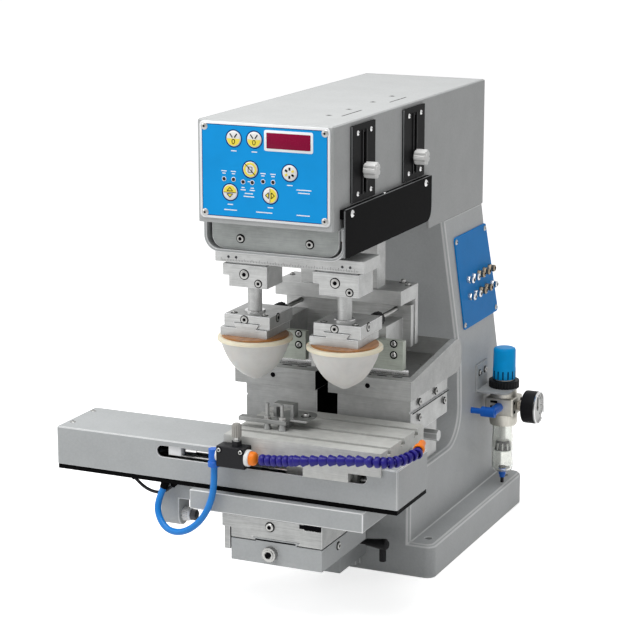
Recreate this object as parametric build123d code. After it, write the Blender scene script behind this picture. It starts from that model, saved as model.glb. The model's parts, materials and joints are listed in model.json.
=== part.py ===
from build123d import *
import math
import os

# Two-colour bench pad printing machine with a shuttle table.
# X runs to the right of someone facing it, Y away from them, Z up.
# The origin is the middle of the base's underside. All sizes are in millimetres.

# Driving sizes of the machine
base_length = 345.6
base_width = 231.0
body_width = 168.0
flange_height = 44.0
deck_height = 132.0
head_front = -410.0
head_back = 76.0
head_underside = 482.0
head_height = 118.0
flank_depth = 46.0
flank_front = -120.0

# Driving sizes of the printing gear
pad_spacing = 116.0
pad_axis = -318.0
pad_diameter = 90.0
pad_tip_height = 277.5
tray_spacing = 125.6
tray_width = 108.4
tray_front = -255.0
tray_back = -85.0
tray_floor = 252.0

# Driving sizes of the work table
table_top = 225.0
table_length = 200.0
table_width = 132.0
table_left = -68.0
table_front = -384.0
housing_left = -299.0
housing_right = 151.0
housing_front = -380.0
housing_back = -286.0
housing_top = 206.0
plate_top = 152.5

# Clearances and overruns shared by the whole machine
sliding_gap = 0.3
running_gap = 0.05
over = 1.0

round_sides = 20
small_sides = 12
hose_sides = 8
pad_sides = 28

machine_height = head_underside + head_height
flank_underside = head_underside - flank_depth
half_body = body_width / 2
half_length = base_length / 2
half_base = base_width / 2
pad_x = pad_spacing / 2
tray_x = tray_spacing / 2
sides = (-1, 1)


def block(x, y, z):
    """Solid block between two limits on each axis."""
    size = [b - a for a, b in (x, y, z)]
    middle = [(a + b) / 2 for a, b in (x, y, z)]
    return Pos(*middle) * Box(*size)


def along(section, axis, start, end, at):
    """A flat section drawn out along one axis, at a place on the other two."""
    turns = {"x": Rot(0, 90, 0), "y": Rot(-90, 0, 0), "z": Rot(0, 0, 0)}
    places = {
        "x": (start, at[0], at[1]),
        "y": (at[0], start, at[1]),
        "z": (at[0], at[1], start),
    }
    return Pos(*places[axis]) * turns[axis] * extrude(section, amount=end - start)


def drum(axis, radius, start, end, at):
    """Round bar along one axis."""
    return along(Circle(radius), axis, start, end, at)


def rod(axis, radius, start, end, at):
    """Bar with many flat sides whose corners lie on the radius."""
    return along(RegularPolygon(radius, round_sides), axis, start, end, at)


def drill(axis, radius, start, end, at):
    """Bar with many flat sides that touch the radius, so that a rod turns in its hole."""
    return along(RegularPolygon(radius, round_sides, major_radius=False), axis, start, end, at)


def faceted(axis, radius, start, end, at, sides):
    """Bar with a given number of flat sides."""
    return along(RegularPolygon(radius, sides), axis, start, end, at)


def outline(points, corners=()):
    """Flat face through points, with the named corners rounded."""
    face = make_face(Polyline(*points, close=True))
    for point, radius in corners:
        nearest = face.vertices().sort_by_distance((point[0], point[1], 0))[0]
        face = fillet(nearest, radius)
    return face


def prism_x(face, x):
    """A face drawn in Y and Z, drawn out between two places on X."""
    return Pos(x[0], 0, 0) * extrude(Plane.YZ * face, amount=x[1] - x[0])


def prism_y(face, y):
    """A face drawn in X and Z, drawn out between two places on Y."""
    return Pos(0, y[1], 0) * extrude(Plane.XZ * face, amount=y[1] - y[0])


def around(first, last):
    """The two limits of a span given by its middle and half its width."""
    return first - last, first + last


def ringed(rings, sides):
    """Solid with flat sides through rings given by radius and height."""
    loops = []
    for radius, height in rings:
        turns = [2 * math.pi * i / sides for i in range(sides)]
        loops.append([(radius * math.cos(t), radius * math.sin(t), height) for t in turns])
    walls = [loops[0], loops[-1]]
    for low, high in zip(loops, loops[1:]):
        for i in range(sides):
            walls.append([low[i - 1], low[i], high[i], high[i - 1]])
    return Solid(Shell([Face(Wire.make_polygon(wall)) for wall in walls]))


def lobed(radius, depth, count):
    """Flat face of a knob with a number of equal lobes."""
    shares = ((-0.3, radius), (0.3, radius), (0.5, radius - depth))
    points = []
    for i in range(count):
        for share, reach in shares:
            turn = 2 * math.pi * (i + share) / count
            points.append((reach * math.cos(turn), reach * math.sin(turn)))
    return make_face(Polyline(*points, close=True))


def facing(way):
    """Rotation that turns +Z to one of the six directions."""
    turns = {
        "+x": Rot(0, 90, 0),
        "-x": Rot(0, -90, 0),
        "+y": Rot(-90, 0, 0),
        "-y": Rot(90, 0, 0),
        "+z": Rot(0, 0, 0),
        "-z": Rot(180, 0, 0),
    }
    return turns[way]


def save(name, *solids):
    """Write one sub-part, as one solid or a group of separate ones."""
    shape = solids[0] if len(solids) == 1 else Compound(children=list(solids))
    export_step(shape, os.path.join("parts", name + ".step"))


# Base casting: flange, hollow lower box and leaning column in one piece
casting_wall = 8.0
flange_corner = 12.0
flange_edge = 3.0
deck_fillet = 42.0
column_foot = 7.0
throat_height = 240.0
throat_front = 0.0
column_head = -68.5
heel_height = 160.0
casting_edge = 3.5
foot_hole_radius = 4.5
foot_hole_share = 0.47619048
foot_hole_inset = 27.8
foot_hole_x = half_body + (half_base - half_body) * foot_hole_share
foot_hole_y = half_length - foot_hole_inset
way_half_width = 16.0
way_depth = 12.0
way_bottom = 8.0
way_top = 122.0
hose_port_radius = 4.2
hose_port_y = 48.0
hose_port_z = 160.0


def base_casting():
    low = -half_length
    profile = outline(
        [
            (low, 0),
            (low, deck_height),
            (column_foot, deck_height),
            (throat_front, throat_height),
            (column_head, flank_underside),
            (head_back, flank_underside),
            (half_length, heel_height),
            (half_length, 0),
        ],
        [
            ((column_foot, deck_height), deck_fillet),
            ((throat_front, throat_height), deck_fillet),
        ],
    )
    body = prism_x(profile, (-half_body, half_body))
    rim = [
        e
        for e in body.edges()
        if math.isclose(abs(e.center().X), half_body, abs_tol=running_gap)
        and flange_height < e.center().Z < flank_underside - running_gap
    ]
    body = chamfer(rim, casting_edge)
    inner = outline(
        [
            (low + casting_wall, -over),
            (low + casting_wall, deck_height - casting_wall),
            (column_foot + casting_wall, deck_height - casting_wall),
            (throat_front + casting_wall, throat_height),
            (column_head + casting_wall, flank_underside - casting_wall),
            (head_back - casting_wall, flank_underside - casting_wall),
            (half_length - casting_wall, heel_height),
            (half_length - casting_wall, -over),
        ]
    )
    inner_half = half_body - casting_wall
    flange = block((-half_base, half_base), (low, half_length), (0, flange_height))
    flange = fillet(flange.edges().filter_by(Axis.Z), flange_corner)
    flange = chamfer(flange.faces().sort_by(Axis.Z)[-1].edges(), flange_edge)
    body = body + flange
    body -= prism_x(inner, (-inner_half, inner_half))
    way = block((-way_half_width, way_half_width), (low - way_depth, low), (way_bottom, way_top))
    body += way
    for x in sides:
        for y in sides:
            place = (x * foot_hole_x, y * foot_hole_y)
            body -= drum("z", foot_hole_radius, -over, flange_height + over, place)
    port = (hose_port_y, hose_port_z)
    body -= drill("x", hose_port_radius, inner_half - over, half_body + over, port)
    return body


# Head casing: folded sheet over the drive, open below in front of the column
sheet = 3.0
head_edge = 1.8
slot_x_inner = half_body - sheet
stop_slot_half = 4.0
front_stop_y = -331.0
rear_stop_y = -177.0
cover_depth = 33.0
cover_rise = 22.5
cover_rail_height = 10.5
slot_plate_gap = 2.5
slot_plate_drop = 6.0
slot_foot = 9.0
slot_head = 10.0
cover_low = head_underside - cover_depth
cover_high = head_underside + cover_rise
cover_rail_low = cover_high - cover_rail_height
slot_plate_low = cover_high + slot_plate_gap
slot_plate_high = machine_height - slot_plate_drop
stop_slot_low = slot_plate_low + slot_foot
stop_slot_high = slot_plate_high - slot_head


def head_casing():
    shell = outline(
        [
            (head_front, head_underside),
            (head_front, machine_height),
            (head_back, machine_height),
            (head_back, flank_underside),
            (flank_front, flank_underside),
            (flank_front, head_underside),
        ]
    )
    body = prism_x(shell, (-half_body, half_body))
    rim = [
        e
        for e in body.edges()
        if math.isclose(e.center().Z, machine_height, abs_tol=running_gap)
        or (
            math.isclose(e.center().Y, head_front, abs_tol=running_gap)
            and math.isclose(abs(e.center().X), half_body, abs_tol=running_gap)
        )
    ]
    body = chamfer(rim, head_edge)
    hollow = block(
        (-slot_x_inner, slot_x_inner),
        (head_front + sheet, head_back - sheet),
        (flank_underside - over, machine_height - sheet),
    )
    body -= hollow
    for y in (front_stop_y, rear_stop_y):
        body -= block(
            (slot_x_inner - over, half_body + over),
            around(y, stop_slot_half),
            (stop_slot_low, stop_slot_high),
        )
    return body


# Control panel: thin plate on the head's front face with six round buttons
panel_sheet = 1.5
panel_half = 80.5
panel_foot = 5.5
panel_drop = 2.0
panel_low = head_underside + panel_foot
panel_high = machine_height - panel_drop
panel_corner = 2.0
button_radius = 8.9
button_proud = 1.5
button_sunk = 0.5
panel_height = panel_high - panel_low
button_shares = {
    "pad_button_left": (-0.463354, 0.835294),
    "pad_button_right": (-0.145342, 0.837104),
    "mode_button": (-0.208696, 0.530317),
    "cycle_button": (0.393789, 0.523077),
    "lift_button": (-0.525466, 0.282353),
    "shuttle_button": (0.095652, 0.279638),
}
button_places = {
    name: (panel_half * x_share, panel_low + panel_height * z_share)
    for name, (x_share, z_share) in button_shares.items()
}
window_x = 30.3
window_half = 26.9
window_drop = 9.2
window_height = 17.6
window_high = panel_high - window_drop
window_low = window_high - window_height
window_proud = 0.8
panel_face = head_front - panel_sheet


def control_panel():
    plate = block((-panel_half, panel_half), (panel_face, head_front), (panel_low, panel_high))
    plate = fillet(plate.edges().filter_by(Axis.Y), panel_corner)
    for place in button_places.values():
        hole = button_radius + sliding_gap
        plate -= drill("y", hole, panel_face - over, head_front + over, place)
    return plate


def display_window():
    """Dark pane let into the panel over the display."""
    start = panel_face - window_proud
    return block(around(window_x, window_half), (start, panel_face), (window_low, window_high))


def panel_button(place):
    return rod("y", button_radius, panel_face - button_proud, panel_face + button_sunk, place)


# Black plates on the right of the head, and the stroke stops that slide in them
slot_plate_half = 33.0
slot_plate_sheet = 3.0
cover_front = -393.0
cover_rear = -129.0
cover_sheet = 2.0
cover_corner = 15.0
stop_knob_radius = 9.5
stop_knob_length = 14.0
stop_knob_lobes = 8
stop_lobe_depth = 1.8
stop_collar_radius = 6.5
stop_collar_length = 2.0
stop_stud_radius = 3.0
stop_nut_half = 6.0
stop_nut_reach = 10.0
front_stop_rise = 25.0
rear_stop_rise = 18.0
front_stop_z = stop_slot_low + front_stop_rise
rear_stop_z = stop_slot_low + rear_stop_rise
nose_half = 88.8
cover_inner = nose_half + sliding_gap
plate_face = half_body + slot_plate_sheet


def slot_plates():
    plates = []
    for y in (front_stop_y, rear_stop_y):
        plate = block(
            (half_body, plate_face), around(y, slot_plate_half), (slot_plate_low, slot_plate_high)
        )
        plate -= block(
            (half_body - over, plate_face + over),
            around(y, stop_slot_half),
            (stop_slot_low, stop_slot_high),
        )
        plates.append(plate)
    return plates


def side_cover():
    face = outline(
        [
            (cover_front, cover_low),
            (cover_front, cover_high),
            (cover_rear, cover_high),
            (cover_rear, cover_low),
        ],
        [((cover_rear, cover_low), cover_corner)],
    )
    cover = prism_x(face, (cover_inner, cover_inner + cover_sheet))
    rail = block((half_body, cover_inner), (cover_front, cover_rear), (cover_rail_low, cover_high))
    return cover + rail


def stroke_stop(y, z):
    """Lobed knob, collar, stud and clamping nut of one stop."""
    knob_start = plate_face + sliding_gap + stop_collar_length
    knob = extrude(lobed(stop_knob_radius, stop_lobe_depth, stop_knob_lobes), amount=stop_knob_length)
    knob = Pos(knob_start, y, z) * facing("+x") * knob
    collar = faceted("x", stop_collar_radius, plate_face + sliding_gap, knob_start, (y, z), small_sides)
    nut_face = slot_x_inner - sliding_gap
    stud = rod("x", stop_stud_radius, nut_face, plate_face + sliding_gap, (y, z))
    nut = block(
        (nut_face - stop_nut_reach, nut_face), around(y, stop_nut_half), around(z, stop_nut_half)
    )
    return knob + collar + stud + nut


# Valve panel on the column's right side with two rows of push-in fittings
valve_sheet = 2.0
valve_corners = [(-33.0, 408.0), (84.0, 408.0), (141.0, 278.0), (11.0, 278.0)]
valve_corner_radius = 4.0
fitting_count = 5
fitting_radius = 5.0
fitting_length = 7.0
collet_radius = 3.4
collet_length = 3.0
upper_row_start = 17.0
upper_row_z = 345.0
upper_row_pitch = 20.3
lower_row_start = 24.0
lower_row_z = 321.0
lower_row_pitch = 21.2
valve_face = half_body + valve_sheet


def valve_panel():
    corners = [(point, valve_corner_radius) for point in valve_corners]
    return prism_x(outline(valve_corners, corners), (half_body, valve_face))


def push_fittings():
    rows = (
        (upper_row_start, upper_row_pitch, upper_row_z),
        (lower_row_start, lower_row_pitch, lower_row_z),
    )
    fittings = []
    for start, pitch, z in rows:
        for i in range(fitting_count):
            place = (start + i * pitch, z)
            shoulder = valve_face + fitting_length
            body = faceted("x", fitting_radius, valve_face, shoulder, place, 6)
            body += faceted("x", collet_radius, shoulder, shoulder + collet_length, place, small_sides)
            fittings.append(body)
    return fittings


# Drive inside the head: two guide rods and the cylinder that moves the carriage
guide_x = 55.0
guide_rise = 28.0
guide_z = head_underside + guide_rise
guide_radius = 8.0
drive_drop = 40.0
drive_z = machine_height - drive_drop
drive_radius = 18.0
drive_bore = 12.5
drive_front = -105.0
drive_back = 40.0
drive_cap = 6.0
drive_rod_radius = 5.0
drive_foot_half = 15.0
drive_foot_length = 40.0
piston_length = 10.0


def carriage_drive():
    rods = [
        rod("y", guide_radius, head_front + sheet, head_back - sheet, (x * guide_x, guide_z))
        for x in sides
    ]
    place = (0, drive_z)
    barrel = rod("y", drive_radius, drive_front, drive_back, place)
    foot = block(
        (-drive_foot_half, drive_foot_half),
        (-drive_foot_length / 2, drive_foot_length / 2),
        (flank_underside, drive_z),
    )
    barrel += foot
    barrel -= drill("y", drive_bore, drive_front + drive_cap, drive_back - drive_cap, place)
    barrel -= drill("y", drive_rod_radius + running_gap, drive_front - over, drive_front + drive_cap, place)
    return rods + [barrel]


# Carriage: slide plate on the guide rods, its nose cover and the pad cylinder
slide_half = 70.0
slide_front = -375.0
slide_back = -155.0
slide_rise = 2.0
slide_sheet = 13.0
slide_low = head_underside + slide_rise
slide_high = slide_low + slide_sheet
bearing_half = 12.0
bearing_height = 26.0
bearing_top = slide_high + bearing_height
bearing_front = -360.0
bearing_back = -165.0
lug_half = 10.0
lug_front = -299.0
lug_back = -289.0
lug_rim = 12.0
lug_top = drive_z + lug_rim
front_block_half = 60.0
front_block_back = -362.0
pad_cylinder_y = -325.0
pad_cylinder_radius = 22.0
pad_cylinder_bore = 16.0
pad_cylinder_drop = 10.0
pad_cylinder_top = machine_height - pad_cylinder_drop
pad_cylinder_cap = 6.0
pad_piston_drop = 30.0
pad_piston_z = pad_cylinder_top - pad_piston_drop
pad_rod_radius = 6.0
pad_pin_x = 30.0
pad_pin_radius = 6.0
pad_pin_top = pad_piston_z
nose_front = -388.0
nose_back = -292.0
nose_drop = 0.5
nose_height = 38.0
nose_high = head_underside - nose_drop
nose_low = nose_high - nose_height
nose_sheet = 4.0
nose_corner = 19.0
nose_plate_half = 80.0
nose_plate_front = -384.0
nose_plate_back = -380.0
nose_plate_drop = 1.5
nose_plate_high = nose_high - nose_plate_drop
nose_floor = nose_low + nose_sheet
lift_places = [(0.0, pad_rod_radius), (-pad_pin_x, pad_pin_radius), (pad_pin_x, pad_pin_radius)]


def carriage_plate():
    plate = block((-slide_half, slide_half), (slide_front, slide_back), (slide_low, slide_high))
    for x in sides:
        span = (bearing_front, bearing_back)
        plate += block(around(x * guide_x, bearing_half), span, (slide_high, bearing_top))
    plate += block((-lug_half, lug_half), (lug_front, lug_back), (slide_high, lug_top))
    plate += block(
        (-front_block_half, front_block_half),
        (nose_plate_back, front_block_back),
        (nose_floor, slide_high),
    )
    for x in sides:
        bore = guide_radius + running_gap
        plate -= drill("y", bore, slide_front - over, slide_back + over, (x * guide_x, guide_z))
    for x, radius in lift_places:
        bore = radius + running_gap
        plate -= drill("z", bore, slide_low - over, slide_high + over, (x, pad_cylinder_y))
    return plate


def drive_rod():
    """Piston and rod that pull the carriage, closed inside the fixed cylinder."""
    place = (0, drive_z)
    start = drive_front + drive_cap + piston_length / 2
    piston = rod("y", drive_bore - running_gap, start, start + piston_length, place)
    return piston + rod("y", drive_rod_radius, lug_back, start + piston_length / 2, place)


def pad_cylinder():
    place = (0, pad_cylinder_y)
    barrel = rod("z", pad_cylinder_radius, slide_high, pad_cylinder_top, place)
    barrel -= drill(
        "z",
        pad_cylinder_bore,
        slide_high + pad_cylinder_cap,
        pad_cylinder_top - pad_cylinder_cap,
        place,
    )
    barrel -= drill(
        "z", pad_rod_radius + running_gap, slide_high - over, slide_high + pad_cylinder_cap, place
    )
    return barrel


def nose_cover():
    def trough(half, low, radius):
        points = [(-half, nose_high), (-half, low), (half, low), (half, nose_high)]
        return outline(points, [((-half, low), radius), ((half, low), radius)])

    outer = prism_y(trough(nose_half, nose_low, nose_corner), (nose_front, nose_back))
    inner = prism_y(
        trough(nose_half - nose_sheet, nose_floor, nose_corner - nose_sheet),
        (nose_front - over, nose_back + over),
    )
    inner += block(
        around(0, nose_half - nose_sheet),
        (nose_front - over, nose_back + over),
        (nose_high - over, nose_high + over),
    )
    shell = outer - inner
    for x, radius in lift_places:
        hole = radius + over
        shell -= drill("z", hole, nose_low - over, nose_floor + over, (x, pad_cylinder_y))
    plate = prism_y(
        outline(
            [
                (-nose_plate_half, nose_plate_high),
                (-nose_plate_half, nose_floor),
                (nose_plate_half, nose_floor),
                (nose_plate_half, nose_plate_high),
            ],
            [
                ((-nose_plate_half, nose_floor), nose_corner - nose_sheet),
                ((nose_plate_half, nose_floor), nose_corner - nose_sheet),
            ],
        ),
        (nose_plate_front, nose_plate_back),
    )
    return [shell, plate]


# Doctor gear: crossbar on the carriage, lifting plate, blade holders and knobs
crossbar_front = -208.0
crossbar_back = -152.0
crossbar_low = 356.0
crossbar_high = 374.0
guide_plate_front = -160.5
doctor_low = 298.0
post_x = 40.0
post_half = 11.0
post_front = -204.0
post_back = -178.0
lift_plate_front = -175.0
lift_plate_back = -166.5
lift_plate_high = 350.0
key_half = 30.0
key_low = 305.0
key_high = 345.0
blade_x = 64.0
arm_half = 9.0
arm_high = 334.0
holder_half = 35.0
holder_front = -238.0
holder_back = -228.0
holder_low = 284.0
holder_high = 320.0
blade_half = 40.0
blade_front = -232.5
blade_back = -231.5
blade_low = 271.0
knob_z = 344.0
knob_radius = 9.0
knob_front = -244.0
knob_back = -231.0
knob_stem_radius = 3.0
knob_groove_count = 12
knob_groove_depth = 0.8


def crossbar():
    bar = block((-half_body, half_body), (crossbar_front, crossbar_back), (crossbar_low, crossbar_high))
    bar += block((-half_body, half_body), (guide_plate_front, crossbar_back), (doctor_low, crossbar_low))
    for x in sides:
        bar += block(around(x * post_x, post_half), (post_front, post_back), (crossbar_high, slide_low))
    return bar


def doctor_plate():
    plate = block(
        (-half_body, half_body), (lift_plate_front, lift_plate_back), (doctor_low, lift_plate_high)
    )
    plate += block(
        (-key_half, key_half), (lift_plate_back, guide_plate_front - sliding_gap), (key_low, key_high)
    )
    for x in sides:
        plate += block(
            around(x * blade_x, arm_half), (holder_back, lift_plate_front), (doctor_low, arm_high)
        )
        hole = knob_stem_radius + running_gap
        place = (x * blade_x, knob_z)
        plate -= drill("y", hole, lift_plate_front - over, lift_plate_back + over, place)
    return plate


def doctor_blades():
    pieces = []
    for x in sides:
        middle = x * blade_x
        holder = block(around(middle, holder_half), (holder_front, holder_back), (holder_low, holder_high))
        blade = block(around(middle, blade_half), (blade_front, blade_back), (blade_low, holder_low))
        pieces += [holder, blade]
    return pieces


def blade_knob(x):
    knob = extrude(lobed(knob_radius, knob_groove_depth, knob_groove_count), amount=knob_back - knob_front)
    knob = Pos(x, knob_front, knob_z) * facing("+y") * knob
    return knob + rod("y", knob_stem_radius, knob_back, lift_plate_back, (x, knob_z))


# Pad gear: lift rods, holder bar, clamps, dovetail holders, backs and pads
bar_half = 95.0
bar_front = -348.0
bar_back = -301.5
bar_low = 423.5
bar_high = 438.0
clamp_half = 28.8
clamp_front = -345.0
clamp_back = -302.5
clamp_low = 394.0
clamp_high = 421.0
clamp_neck_inset = 4.0
clamp_notch_width = 8.0
clamp_notch_height = 13.0
shaft_radius = 8.5
shaft_top = 415.0
holder_block_half = 29.8
holder_block_front = -341.0
holder_block_back = -276.0
holder_block_low = 344.0
holder_block_high = 359.5
dovetail_low_half = 13.0
dovetail_high_half = 17.0
dovetail_depth = 6.0
pad_plate_left = 34.0
pad_plate_right = 27.0
pad_plate_front = -343.0
pad_plate_back = -280.0
pad_plate_low = 333.5
back_radius = 40.0
back_low = 323.5
pad_rim_high = 331.0
pad_rim_low = 322.0
pad_radius = pad_diameter / 2
pad_height = pad_rim_low - pad_tip_height
pad_side_shares = ((1.0, 1.05), (0.93, 1.0), (0.85, 0.74), (0.68, 0.42), (0.36, 0.12), (0.05, 0.0))


def pad_lift_rods():
    rods = [
        rod("z", radius, bar_high, pad_pin_top, (x, pad_cylinder_y)) for x, radius in lift_places[1:]
    ]
    stem = rod("z", pad_rod_radius, bar_high, pad_piston_z, (0, pad_cylinder_y))
    stem += rod(
        "z",
        pad_cylinder_bore - running_gap,
        pad_piston_z,
        pad_piston_z + piston_length,
        (0, pad_cylinder_y),
    )
    return rods + [stem]


def holder_bar():
    return block((-bar_half, bar_half), (bar_front, bar_back), (bar_low, bar_high))


def pad_clamp(x):
    body = block(around(x, clamp_half), (clamp_front, clamp_back), (clamp_low, clamp_high))
    body += block(
        around(x, clamp_half - clamp_neck_inset),
        (clamp_front + clamp_neck_inset, clamp_back - clamp_neck_inset),
        (clamp_high, bar_low),
    )
    body -= block(
        (x - clamp_half - over, x - clamp_half + clamp_notch_width),
        (clamp_front - over, clamp_back + over),
        (clamp_low - over, clamp_low + clamp_notch_height),
    )
    return body - drill("z", shaft_radius + running_gap, clamp_low - over, shaft_top, (x, pad_axis))


def dovetail(x, y, low, high, gap):
    """Dovetail bar along Y, narrower below; gap draws its sides in."""
    points = [
        (x - dovetail_low_half + gap, low),
        (x + dovetail_low_half - gap, low),
        (x + dovetail_high_half - gap, high),
        (x - dovetail_high_half + gap, high),
    ]
    return prism_y(outline(points), y)


def pad_holder(x):
    body = block(
        around(x, holder_block_half),
        (holder_block_front, holder_block_back),
        (holder_block_low, holder_block_high),
    )
    body -= dovetail(
        x,
        (holder_block_front - over, holder_block_back + over),
        holder_block_low,
        holder_block_low + dovetail_depth,
        0,
    )
    return body + rod("z", shaft_radius, holder_block_high, shaft_top, (x, pad_axis))


def pad_plate(x):
    high = holder_block_low - sliding_gap
    plate = block(
        (x - pad_plate_left, x + pad_plate_right), (pad_plate_front, pad_plate_back), (pad_plate_low, high)
    )
    tongue = dovetail(
        x,
        (pad_plate_front, pad_plate_back),
        high,
        holder_block_low + dovetail_depth - sliding_gap,
        sliding_gap,
    )
    return plate + tongue


def pad_back(x):
    return drum("z", back_radius, back_low, pad_plate_low, (x, pad_axis))


def pad(x):
    """Soft bell with a round rim and a blunt point below."""
    side = [(pad_radius * r, pad_tip_height + pad_height * h) for r, h in pad_side_shares]
    bell = ringed([(pad_radius, pad_rim_high)] + side, pad_sides)
    bell = Pos(x, pad_axis, 0) * bell
    return bell - drum("z", back_radius + sliding_gap, back_low, pad_rim_high + over, (x, pad_axis))


# Ink trays on their pedestals, with the engraved plates inside
tray_half = tray_width / 2
tray_wall = 8.2
tray_front_high = 276.3
tray_slope_start = -248.0
tray_slope_end = -108.0
tray_back_high = 294.0
tray_band = 21.0
tray_recess_floor = 262.0
tray_back_corner = 16.0
tray_slot_length = 14.0
tray_slot_width = 3.0
tray_slot_depth = 4.0
tray_slot_count = 4
tray_slot_pitch = 23.3
tray_slot_shift = -8.0
tray_slot_inset = 15.5
tray_hole_radius = 3.2
tray_hole_depth = 14.0
tray_hole_z = 266.0
tray_hole_x = -2.5
cliche_sheet = 8.0
cliche_top = tray_recess_floor + cliche_sheet
pedestal_inner = 13.6
pedestal_outer = 110.0
pedestal_front = -238.0
pedestal_back = -115.0
pedestal_low = 203.0
pedestal_split = 232.0
pedestal_groove = 1.5
stem_inner = 22.0
stem_outer = 76.0
stem_front = -160.0
stem_back = -62.0
adjuster_y = -148.0
adjuster_z = 181.0
adjuster_radius = 7.5
adjuster_neck = 3.5
adjuster_start = 92.0
adjuster_end = 112.0


def ink_tray(x):
    face = outline(
        [
            (tray_front, tray_floor),
            (tray_front, tray_front_high),
            (tray_slope_start, tray_front_high),
            (tray_slope_end, tray_back_high),
            (tray_back, tray_back_high),
            (tray_back, tray_floor),
        ],
        [
            ((tray_back, tray_back_high), tray_back_corner),
            ((tray_back, tray_floor), tray_back_corner),
        ],
    )
    tray = prism_x(face, around(x, tray_half))
    tray -= block(
        around(x, tray_half - tray_wall),
        (tray_front + tray_band, tray_back - tray_wall),
        (tray_recess_floor, tray_back_high + over),
    )
    tray -= block(
        around(x, tray_half - tray_wall),
        (tray_front - over, tray_front + tray_band + over),
        (tray_front_high, tray_back_high + over),
    )
    for i in range(tray_slot_count):
        middle = x + tray_slot_shift + (i - (tray_slot_count - 1) / 2) * tray_slot_pitch
        tray -= block(
            around(middle, tray_slot_length / 2),
            around(tray_front + tray_slot_inset, tray_slot_width / 2),
            (tray_front_high - tray_slot_depth, tray_front_high + over),
        )
    hole = (x + tray_hole_x, tray_hole_z)
    return tray - drill("y", tray_hole_radius, tray_front - over, tray_front + tray_hole_depth, hole)


def cliche_plate(x):
    return block(
        around(x, tray_half - tray_wall - sliding_gap),
        (tray_front + tray_band + sliding_gap, tray_back - tray_wall - sliding_gap),
        (tray_recess_floor, cliche_top),
    )


def pedestal(side):
    def span(a, b):
        return tuple(sorted((side * a, side * b)))

    body = block(
        span(pedestal_inner, pedestal_outer), (pedestal_front, pedestal_back), (pedestal_low, tray_floor)
    )
    groove = block(
        span(pedestal_outer - pedestal_groove, pedestal_outer + over),
        (pedestal_front - over, pedestal_back + over),
        (pedestal_split, pedestal_split + pedestal_groove),
    )
    body -= groove
    body += block(span(stem_inner, stem_outer), (stem_front, stem_back), (deck_height, pedestal_low))
    place = (adjuster_y, adjuster_z)
    neck = span(stem_outer, adjuster_start)
    nut = span(adjuster_start, adjuster_end)
    body += faceted("x", adjuster_neck, neck[0], neck[1], place, small_sides)
    return body + faceted("x", adjuster_radius, nut[0], nut[1], place, 6)


# Filter regulator on the column's right side
reg_x = 112.0
reg_y = 96.0
reg_knob_radius = 15.5
reg_knob_low = 196.0
reg_knob_high = 238.6
reg_knob_groove_count = 20
reg_knob_groove_depth = 0.9
reg_skirt_height = 24.0
reg_ring_radius = 20.5
reg_ring_low = 182.0
reg_ring_high = 195.0
reg_body_half = 20.0
reg_body_low = 132.5
reg_body_corner = 5.0
reg_neck_radius = 14.0
bowl_radius = 14.8
bowl_low = 66.0
bowl_wall = 1.6
bowl_round = 5.0
baffle_radius = 9.5
baffle_top_radius = 6.5
baffle_low = 95.0
baffle_high = 104.0
baffle_stem_radius = 3.0
drain_radius = 5.0
drain_low = 55.0
drain_tip_radius = 2.2
drain_tip_low = 49.0
bracket_sheet = 2.5
bracket_high = 219.0
bracket_front = 60.0
bracket_back = 100.0
bracket_arm_reach = 18.0
bracket_arm_corner = 8.0
gauge_z = 160.0
gauge_radius = 22.0
gauge_start = 144.0
gauge_end = 163.0
gauge_stem_radius = 5.0
gauge_dish_radius = 19.5
gauge_dish_depth = 3.0
needle_length = 14.0
needle_tail = 4.0
needle_half = 0.7
needle_sheet = 0.8
needle_boss = 2.0
needle_pin_radius = 1.0
tube_radius = 4.0
elbow_radius = 6.8
elbow_start = 98.0
elbow_end = 117.0
branch_radius = 6.2


def regulator_bracket():
    """Angle on the column's side whose arm is clamped under the ring."""
    arm_high = reg_ring_low + bracket_sheet
    wall = block(
        (half_body, half_body + bracket_sheet),
        (bracket_front, bracket_back),
        (reg_ring_low, bracket_high),
    )
    arm = block(
        (half_body, reg_x + bracket_arm_reach),
        (bracket_front, reg_y + bracket_arm_reach),
        (reg_ring_low, arm_high),
    )
    arm = fillet(arm.edges().filter_by(Axis.Z).sort_by(Axis.X)[-2:], bracket_arm_corner)
    bracket = wall + arm
    hole = reg_neck_radius + sliding_gap
    return bracket - drill("z", hole, reg_ring_low - over, arm_high + over, (reg_x, reg_y))


def regulator_body():
    place = (reg_x, reg_y)
    lower = block(
        around(reg_x, reg_body_half), around(reg_y, reg_body_half), (reg_body_low, reg_ring_low)
    )
    lower = fillet(lower.edges().filter_by(Axis.Z), reg_body_corner)
    lower += rod("z", reg_neck_radius, reg_ring_low, reg_knob_low, place)
    ring = drum("z", reg_ring_radius, reg_ring_low + bracket_sheet, reg_ring_high, place)
    ring -= rod("z", reg_neck_radius, reg_ring_low, reg_knob_low, place)
    stem = rod("z", baffle_stem_radius, baffle_low, reg_body_low, place)
    baffle = ringed([(baffle_radius, baffle_low), (baffle_top_radius, baffle_high)], small_sides)
    stem += Pos(reg_x, reg_y, 0) * baffle
    return [lower, ring, stem]


def regulator_bowl():
    outer = drum("z", bowl_radius, bowl_low, reg_body_low, (reg_x, reg_y))
    outer = chamfer(outer.faces().sort_by(Axis.Z)[0].edges(), bowl_round)
    inner = rod(
        "z", bowl_radius - bowl_wall, bowl_low + bowl_wall, reg_body_low + over, (reg_x, reg_y)
    )
    inner = chamfer(inner.faces().sort_by(Axis.Z)[0].edges(), bowl_round - bowl_wall)
    drain = faceted("z", drain_radius, drain_low, bowl_low, (reg_x, reg_y), small_sides)
    drain += faceted("z", drain_tip_radius, drain_tip_low, drain_low, (reg_x, reg_y), small_sides)
    return [outer - inner, drain]


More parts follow.
